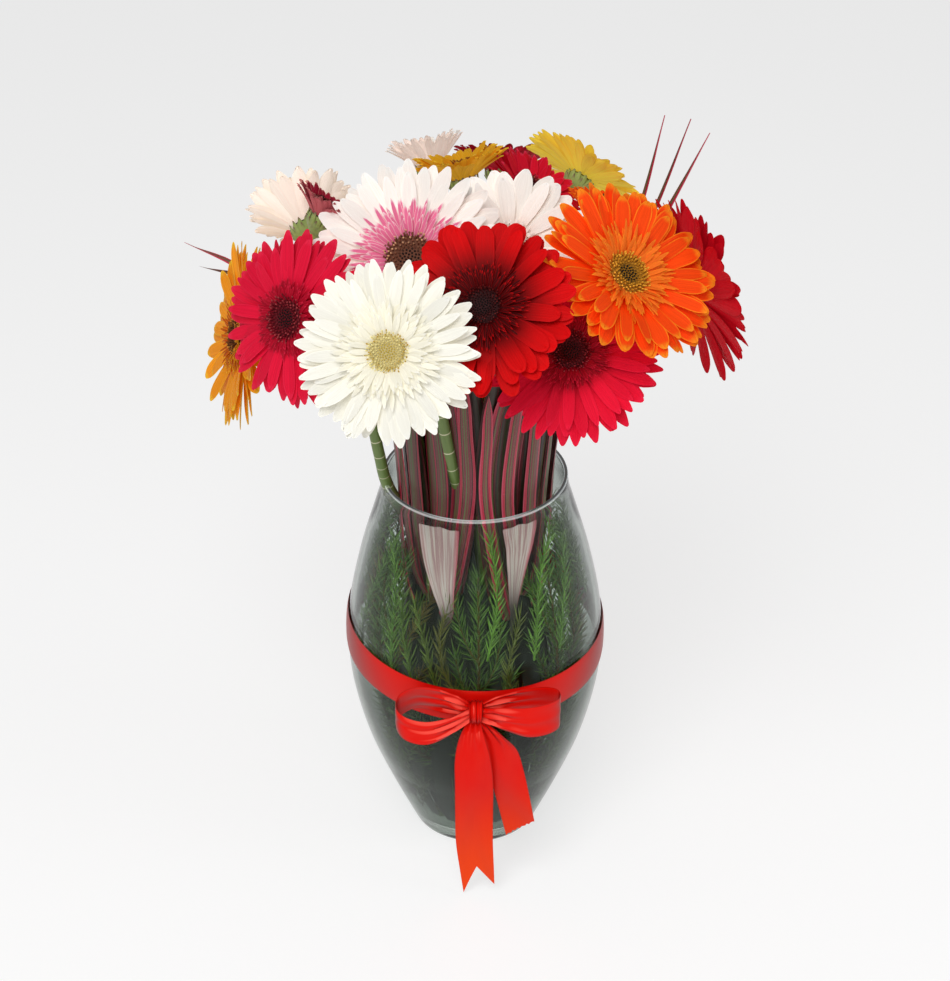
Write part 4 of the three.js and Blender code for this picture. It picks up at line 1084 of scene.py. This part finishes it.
def stem_path(head, count=40):
    """The middle of a head's stem: straight from its foot to the neck of the vase, then a
    bending cubic to the back of its cup."""
    bunch = [h for h in HEADS if h.bunch == head.bunch]
    share = bunch.index(head) / len(bunch)
    spread = round_axis(FOOT_SPREAD / 2, 360 * share, 0)
    foot = np.array([*FEET[head.bunch], FOOT_HEIGHT]) + spread
    neck = np.array([head.at[0] * NECK_SHARE, head.at[1] * NECK_SHARE, NECK_HEIGHT])
    centre, way = np.array(head.at, float), head.facing()
    start = unit(neck - foot)
    reach = np.linalg.norm(centre - neck)
    a, b = neck + start * 0.5 * reach, centre - way * (CUP_DEPTH + 0.3 * reach)
    end = centre - way * CUP_DEPTH
    t = np.linspace(0, 1, count)[:, None]
    curve = (1 - t) ** 3 * neck + 3 * (1 - t) ** 2 * t * a + 3 * (1 - t) * t ** 2 * b + t ** 3 * end
    straight = foot + (neck - foot) * np.linspace(0, 1, 14)[:-1, None]
    return np.vstack([straight, curve])


def stem(skin, head, radius):
    """The stem is round rings along its path; the cup a turned profile; and the bracts two rows
    of small pointed scales that follow the cup."""
    path = stem_path(head)
    t = np.linspace(0, 1, len(path))
    girth = radius * (1 + 0.06 * np.sin(31 * t) - 0.12 * t)
    skin.add(rings_along(path, girth, 12), along=(t * 8)[:, None], across=np.linspace(0, 1, 12))
    depth, swell = CUP.T
    cup = np.vstack([np.stack([swell, -depth], 1), [[0.2, -5.4]], [[0.2, -18.6]]])
    skin.add(placed(turned(cup[::-1], 24), head), loop=True, along=0.5, across=0.2)
    raised = np.array([0, 0.5, 0.75, 0.5, 0, -0.3, -0.3, -0.3])
    for row, (low, high, count) in enumerate(((16.5, 7.5, 11), (13, 2.6, 14))):
        u = np.linspace(0, 1, 6)
        d = low + (high - low) * u
        r = np.interp(-d, -depth, swell) + 0.35 + 0.3 * row + 1.1 * u ** 2
        half = 1.9 * np.sin(np.pi * np.clip(0.25 + 0.75 * u, 0, 0.985)) ** 0.8
        a = (2 * np.pi * (np.arange(count) + 0.37 * row) / count)[:, None, None]
        scales = spun(r[None, :, None] + raised * 0.8, half[None, :, None] * STRIP,
                      np.broadcast_to(-d[None, :, None], (count, 6, 8)), a)
        skin.add(placed(scales[:, :, ::-1], head), along=u[None, :, None], bract=1.0,
                 across=STRIP[::-1])


class GERBERAS_OT_stems(bpy.types.Operator):
    """Makes the stems, and the green cup with its bracts under each flower"""
    bl_idname = "gerberas.stems"
    bl_label = "Stems"

    def execute(self, context):
        settings = context.scene.gerbera_flowers
        green = finish_of(
            "stem_green", stem_markings(), {"Green": settings.green}, bump_distance=0.0003,
            Roughness=0.55, Sheen_Weight=0.2, Sheen_Roughness=0.6,
        )
        for bunch in FEET:
            skin = Skin("along", "across", "bract")
            for head in HEADS:
                if head.bunch == bunch:
                    stem(skin, head, settings.stem / MM)
            skin.piece("flower_stems_" + bunch, green, "stems", "stems_" + bunch)
        return {"FINISHED"}


# Striped leaves

def blades(routes, widths, seed, keel=1.6, thickness=0.8, steps=26, blunt=False):
    """Long narrow leaves along smooth routes. Across each, five points make a shallow trough
    whose keel faces the vase's axis, and three more its underside; the width follows a smooth
    line through the given ones and closes in a point."""
    stacks = []
    u = np.linspace(0, 1, steps)
    wobble = draws(seed, len(routes), 3)
    for route, width, w in zip(routes, widths, wobble):
        path = spline(route, steps)
        half = spline(np.asarray(width, float)[:, None], steps)[:, 0] / 2
        if not blunt:
            half = half * np.sqrt(np.clip(1 - blendwise(u, 0.8, 1.0) ** 1.6, 0.0004, 1))
        along = unit(np.gradient(path, axis=0))
        inside = np.stack([-path[:, 0], -path[:, 1], np.zeros(steps)], 1)
        out = unit(inside - along * (inside * along).sum(1, keepdims=True))
        across = np.cross(out, along)
        spin = np.radians(14 * w[0] * np.sin(2.2 * u))[:, None]
        across, out = (across * np.cos(spin) + out * np.sin(spin),
                       out * np.cos(spin) - across * np.sin(spin))
        dip = (-keel * (half / 5)[:, None] * (1 - np.abs(STRIP))
               + np.array([0, 0, 0, 0, 0, 1, 1, 1]) * thickness)
        stacks.append(path[:, None, :] + across[:, None, :] * (half[:, None] * STRIP)[..., None]
                      + out[:, None, :] * dip[..., None])
    return np.stack(stacks)[:, :, ::-1], dict(
        along=u[None, :, None], across=STRIP[::-1],
        shade=as_share(wobble[:, 1])[:, None, None])


def shoot(number, degrees, leaf, leaf_width):
    """Leaves leave the cane one above another and fan out at the rim; two rings of them stand
    behind each other, with looser ones between. Sheaths, canes and the leaves that reach past
    the flowers come from the tables."""
    skin = Skin("along", "across", "shade", "pale", "dark", "cane")
    foot, top = (round_axis(r, degrees, z) for r, z in (CANE_FOOT, CANE_TOP))

    def on_cane(z):
        return foot + (top - foot) * (z - foot[2]) / (top[2] - foot[2])

    t = np.linspace(0, 1, 60)
    knots = 1 + 0.10 * np.exp(-(((t * 9) % 1 - 0.5) / 0.07) ** 2)
    skin.add(rings_along(foot + (top - foot) * t[:, None], 4.5 * (1 - 0.2 * t) * knots, 14),
             along=t[:, None] * 6, across=0.2, shade=0.9, cane=0.8)
    routes, widths = [], []
    count, main_count = 22, 9
    loose = draws(number * 7 + 3, count, 5)
    for i in range(count):
        main = i < main_count
        k = i - 4 if main else 8.6 * ((i - main_count) / (count - main_count - 1) - 0.5)
        away = degrees + k * 9.5 + (1.0 if main else 3.0) * loose[i, 0]
        r = (50 if i % 2 == 0 else 43.5) if main else 36 + 9 * as_share(loose[i, 1])
        base = 211 - 9 * abs(k) - 4 * as_share(loose[i, 2])
        tip = LEAF_TIPS[number] + 12 * loose[i, 3]
        lean = 9 * loose[i, 4]
        routes.append([
            on_cane(base), round_axis(r - 2, degrees + 0.62 * (away - degrees), base + 34),
            round_axis(r, away - 0.4 * lean, LEAF_RIM),
            round_axis(r + 5, away, (LEAF_RIM + tip) / 2 + 8), round_axis(r + 9, away + lean, tip),
        ])
        w = leaf_width * (1 + 0.22 * loose[i, 1])
        widths.append([5, w - 1, w, w - 1, w - 2])
    points, values = blades(routes, widths, number + 40)
    # Painted shade: the looser leaves further in are coloured darker.
    behind = np.where(np.arange(count) < main_count, 0.0, 0.75)
    skin.add(points, dark=behind[:, None, None], **values)
    long = [route for owner, route in LONG_LEAVES if owner == number]
    if long:
        points, values = blades([[on_cane(LEAF_FORK), *map(np.array, r)] for r in long],
                                [[5, 6, 5.5, 4.5, 0.6]] * len(long), number + 60, keel=1.2)
        skin.add(points, **values)
    for owner, places in SHEATHS:
        if owner == number:
            route = [on_cane(SHEATH_FORK), *(round_axis(r, a, z) for r, a, z, _ in places)]
            points, values = blades([route], [[5, *(w for *_, w in places)]], number + 80,
                                    keel=-0.3, steps=40, thickness=0.5, blunt=True)
            points[:, -1, :, 2] += ((4 * number - 2) * values["across"] + 1.2
                                    + 0.7 * np.cos(6 * values["across"]))
            # Painted shade: the lower part of a sheath is coloured nearly black.
            painted_shade_low = 0.9 - 0.9 * blendwise(values["along"], 0.35, 0.7)
            skin.add(points, pale=0.75, dark=painted_shade_low, **values)
    for owner, places in CANES:
        if owner == number:
            path = spline([on_cane(LEAF_FORK), *map(np.array, places)], 40)
            run = np.linspace(0, 1, 40)
            # Painted shade: a cane is coloured nearly black below the rim.
            painted_shade_low = 0.8 - 0.8 * blendwise(path[:, 2:], 252, 284)
            skin.add(rings_along(path, 4.4 - 0.9 * run, 14), along=run[:, None] * 5,
                     across=np.linspace(-1, 1, 14), shade=0.9, cane=1 - painted_shade_low, dark=painted_shade_low)
    shade_lining(skin, number, degrees)
    skin.piece(f"leaf_shoot_{number + 1}", leaf, "striped_leaf", f"striped_leaves_{number + 1}")


def shade_lining(skin, number, degrees):
    """Painted shade: broad near-black leaves that stand in the vase behind the sprays, in two
    rings.
    """
    count = 9
    loose = draws(number + 300, count, 4)
    heights, sway, insets, widths = SHADE_LINING
    routes = []
    for i in range(count):
        away = degrees + (i - 4) * 10.5 + 3 * loose[i, 0]
        z = heights + sway * loose[i, 2]
        r = inner_radius(z) - (insets + (4 if i % 2 else 0) + 2 * abs(loose[i, 1]))
        routes.append(round_axis(r, away + 3 * loose[i, 3] * np.linspace(0, 1, 7), z))
    points, values = blades(routes, [widths] * count, number + 320, keel=0.3, steps=22)
    skin.add(points, dark=1.0, **values)


class GERBERAS_OT_striped_leaves(bpy.types.Operator):
    """Makes the four shoots of striped leaves with their canes and sheaths"""
    bl_idname = "gerberas.striped_leaves"
    bl_label = "Striped leaves"

    def execute(self, context):
        settings = context.scene.gerbera_foliage
        leaf = finish_of(
            "striped_leaf", leaf_markings(), {"Margin": settings.margin, "Middle": settings.midrib},
            bump=0.35, bump_distance=0.0003, Roughness=0.42, Specular_IOR_Level=0.45,
        )
        for number, degrees in enumerate(SHOOTS):
            shoot(number, degrees, leaf, settings.leaf_width / MM)
        return {"FINISHED"}


# Conifer

def twig(skin, path, girth, bark, spacing, length, lean, seed, rust=0.0, phase=0.0, young=0.0):
    """A stalk, thinning from the first girth to the second, and needles along it: one every few
    millimetres, each turned by the golden angle from the last and leaning off the stalk, bent
    slightly towards it, and shortened where the glass is near. bark holds the stalk's values."""
    thick, thin, sides = girth
    skin.add(rings_along(path, np.linspace(thick, thin, len(path)), sides), **bark)
    steps = np.linalg.norm(np.diff(path, axis=0), axis=1)
    run = np.concatenate([[0], np.cumsum(steps)])
    count = max(4, int(run[-1] / spacing))
    where = np.linspace(2, run[-1], count)
    root = np.stack([np.interp(where, run, path[:, k]) for k in range(3)], 1)
    slope = unit(np.gradient(path, axis=0))
    along = unit(np.stack([np.interp(where, run, slope[:, k]) for k in range(3)], 1))
    side = unit(np.cross(along, (0.2, 0.1, 0.97)))
    turn = (np.radians(GOLDEN_ANGLE) * np.arange(count) + phase)[:, None]
    out = side * np.cos(turn) + np.cross(along, side) * np.sin(turn)
    uneven = draws(seed, count, 3)
    lean = np.radians(lean + 7 * uneven[:, :1])
    grown = length * (0.85 + 0.15 * uneven[:, 1:2])
    grown = grown * blendwise(where / run[-1], -0.15, 0.1)[:, None]
    way = along * np.cos(lean) + out * np.sin(lean)
    for _ in range(8):
        tip = root + way * grown
        over = np.hypot(tip[:, 0], tip[:, 1]) > inner_radius(tip[:, 2]) - NEEDLE_GAP
        grown = np.where(over[:, None], grown * 0.82, grown)
    t = np.array([0, 0.5, 1.0])
    bend = along[:, None, :] * (0.12 * grown * t ** 2)[..., None]
    line = root[:, None, :] + way[:, None, :] * (grown * t)[..., None] + bend
    rings = rings_along(line, np.array([0.36, 0.42, 0.1]), 3)
    skin.add(rings, along=t[None, :, None], shade=as_share(uneven[:, 2])[:, None, None],
             rust=rust, young=young)


def spray(number, stalks, length, conifer):
    """Three stalks grow from a stock in the water and hug the glass; each bears twigs that leave
    it to both sides and inwards, and low ones at its foot. More twigs come from the table."""
    skin = Skin("along", "shade", "rust", "young")
    middle = stalks[1]
    stock = np.stack([round_axis(r, middle, z) for r, z in STOCK])
    heights, insets, spread = STALK
    skin.add(rings_along(spline(stock, 8), 2.2, 8), shade=0.3, rust=0.5)
    for j, degrees in enumerate(stalks):
        hugging = round_axis(inner_radius(heights) - insets,
                             middle + (degrees - middle) * spread, heights)
        main = spline(np.vstack([stock[-1:], hugging]), 50)
        seed = 100 * number + 10 * j
        twig(skin, main, (1.5, 0.7, 6), dict(shade=0.2, rust=0.6), 0.8, length, 38, seed,
             phase=seed)
        uneven = draws(seed + 5, SIDE_TWIGS, 4)
        for k in range(SIDE_TWIGS):
            start = main[6 + 5 * k]
            r0, a0 = np.hypot(start[0], start[1]), np.degrees(np.arctan2(start[1], start[0]))
            t = np.linspace(0, 1, 18)
            z = np.minimum(start[2] + (52 + 12 * uneven[k, 0]) * t, TWIG_TOP)
            inset = 9 + (26 if k % 3 == 2 else 3) * t
            r = r0 + (inner_radius(z) - inset - r0) * t
            side = 1 if k % 2 else -1
            turn = a0 + side * (15 + 4 * uneven[k, 1]) * t ** 0.7
            old = 0.55 if uneven[k, 2] > 0.45 else 0.0
            twig(skin, round_axis(r, turn, z), (0.8, 0.4, 5), dict(shade=0.3, rust=0.5), 0.8,
                 length * 0.9, 38, seed + k + 11, old, phase=k)
        for k in range(LOW_TWIGS):
            t = np.linspace(0, 1, 14)
            z = 22 + 20 * k + (34 + 6 * uneven[k, 3]) * t
            turn = degrees + (-1) ** (k + j) * (16 * t ** 0.8 - 5)
            twig(skin, round_axis(inner_radius(z) - 7.5, turn, z), (0.8, 0.4, 5),
                 dict(shade=0.1, rust=0.5), 1.0, length * 0.85, 36, seed + k + 31, 0.15, phase=k,
                 young=0.5)
    for owner, fresh, rust, places in TWIGS:
        if owner == number:
            turn, z = spline(places, 30).T
            twig(skin, round_axis(inner_radius(z) - 5.5, turn, z), (0.9, 0.4, 5),
                 dict(shade=0.6, rust=rust, young=0.6 * fresh), 1.1, length, 31,
                 number + 900 + int(z[0]), rust, young=fresh)
    skin.piece(f"conifer_{number + 1}", conifer, "conifer", f"conifer_spray_{number + 1}",
               crease=80)


class GERBERAS_OT_conifer(bpy.types.Operator):
    """Makes the needled conifer sprays in the vase"""
    bl_idname = "gerberas.conifer"
    bl_label = "Conifer sprays"

    def execute(self, context):
        settings = context.scene.gerbera_foliage
        conifer = finish_of(
            "conifer_needles", needle_markings(), {"Green": settings.conifer}, bump=0.1,
            Roughness=0.5, Specular_IOR_Level=0.4,
        )
        for number, stalks in enumerate(SPRAYS):
            spray(number, stalks, settings.needle / MM, conifer)
        return {"FINISHED"}


# Stage

def lamp(name, at, size, power):
    """A square soft light that looks at the middle of the bouquet."""
    light = bpy.data.lights.new(name, "AREA")
    light.shape, light.size, light.energy = "SQUARE", size, power
    made = new_object(name, light)
    made.location = at
    made.rotation_euler = (Vector(AIM) - Vector(at)).to_track_quat("-Z", "Y").to_euler()


class GERBERAS_OT_stage(bpy.types.Operator):
    """Makes the pale floor, the soft studio light and the camera"""
    bl_idname = "gerberas.stage"
    bl_label = "Floor, light and camera"

    def execute(self, context):
        settings = context.scene.gerbera_stage
        mesh = bpy.data.meshes.new("studio_floor")
        mesh.from_pydata([(-8, -8, 0), (8, -8, 0), (8, 8, 0), (-8, 8, 0)], [], [(0, 1, 2, 3)])
        new_object("studio_floor", mesh)
        paper = Finish("floor_paper", Roughness=0.9, Specular_IOR_Level=0.1,
                       Emission_Color=(1, 1, 1, 1), Emission_Strength=0.64)
        pale = tuple(c * 1.03 for c in settings.floor)
        grain = paper.noise(paper.where(), 300.0)
        paper.into("Base Color", paper.mixed(grain, settings.floor, pale))
        mesh.materials.append(paper.material)
        world = bpy.data.worlds.new("soft_room")
        context.scene.world = world
        world.use_nodes = True
        room = Tree(world.node_tree)
        background = world.node_tree.nodes["Background"]
        background.inputs["Color"].default_value = (1, 1, 1, 1)
        path = room.node("LightPath").outputs
        seen = room.math("MAXIMUM", path["Is Camera Ray"], path["Is Transmission Ray"])
        strength = room.math("MULTIPLY_ADD", seen, BACKDROP - settings.fill, settings.fill)
        room.link(strength, background.inputs["Strength"])
        lamp("key", (-0.4, -1.25, 1.95), 1.2, settings.key)
        lamp("side", (1.1, -0.35, 0.75), 0.5, settings.key * 0.08)
        lamp("front", (-0.2, -1.5, 0.5), 0.7, settings.key * 0.06)
        camera = bpy.data.cameras.new("camera")
        camera.lens, camera.sensor_width, camera.clip_start = LENS, SENSOR, 0.01
        eye = new_object("camera", camera)
        eye.location = EYE
        eye.rotation_euler = (math.radians(90 - EYE_DOWN), 0, 0)
        context.scene.camera = eye
        context.scene.view_settings.view_transform = "Standard"
        return {"FINISHED"}


class GERBERAS_PT_panel(bpy.types.Panel):
    bl_label = "Gerberas in a vase"
    bl_space_type = "VIEW_3D"
    bl_region_type = "UI"
    bl_category = "Gerberas"

    def draw(self, context):
        for operator in OPERATORS:
            self.layout.operator(operator.bl_idname)
        for name, settings in SETTINGS.items():
            box = self.layout.box()
            box.label(text=settings.__name__.replace("Settings", ""))
            for key in settings.__annotations__:
                box.prop(getattr(context.scene, name), key)


SETTINGS = {
    "gerbera_vase": VaseSettings, "gerbera_ribbon": RibbonSettings,
    "gerbera_flowers": FlowerSettings, "gerbera_foliage": FoliageSettings,
    "gerbera_stage": StageSettings,
}
OPERATORS = (
    GERBERAS_OT_stage, GERBERAS_OT_vase, GERBERAS_OT_ribbon, GERBERAS_OT_stems,
    GERBERAS_OT_striped_leaves, GERBERAS_OT_conifer, GERBERAS_OT_flowers,
)
CLASSES = (*SETTINGS.values(), *OPERATORS, GERBERAS_PT_panel)


def register():
    for cls in CLASSES:
        bpy.utils.register_class(cls)
    for name, settings in SETTINGS.items():
        setattr(bpy.types.Scene, name, PointerProperty(type=settings))


def unregister():
    for name in SETTINGS:
        delattr(bpy.types.Scene, name)
    for cls in reversed(CLASSES):
        bpy.utils.unregister_class(cls)


def main():
    register()
    bpy.ops.gerberas.stage()
    bpy.ops.gerberas.vase()
    bpy.ops.gerberas.ribbon()
    bpy.ops.gerberas.stems()
    bpy.ops.gerberas.striped_leaves()
    bpy.ops.gerberas.conifer()
    bpy.ops.gerberas.flowers()
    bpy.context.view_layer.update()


if __name__ == "__main__":
    main()
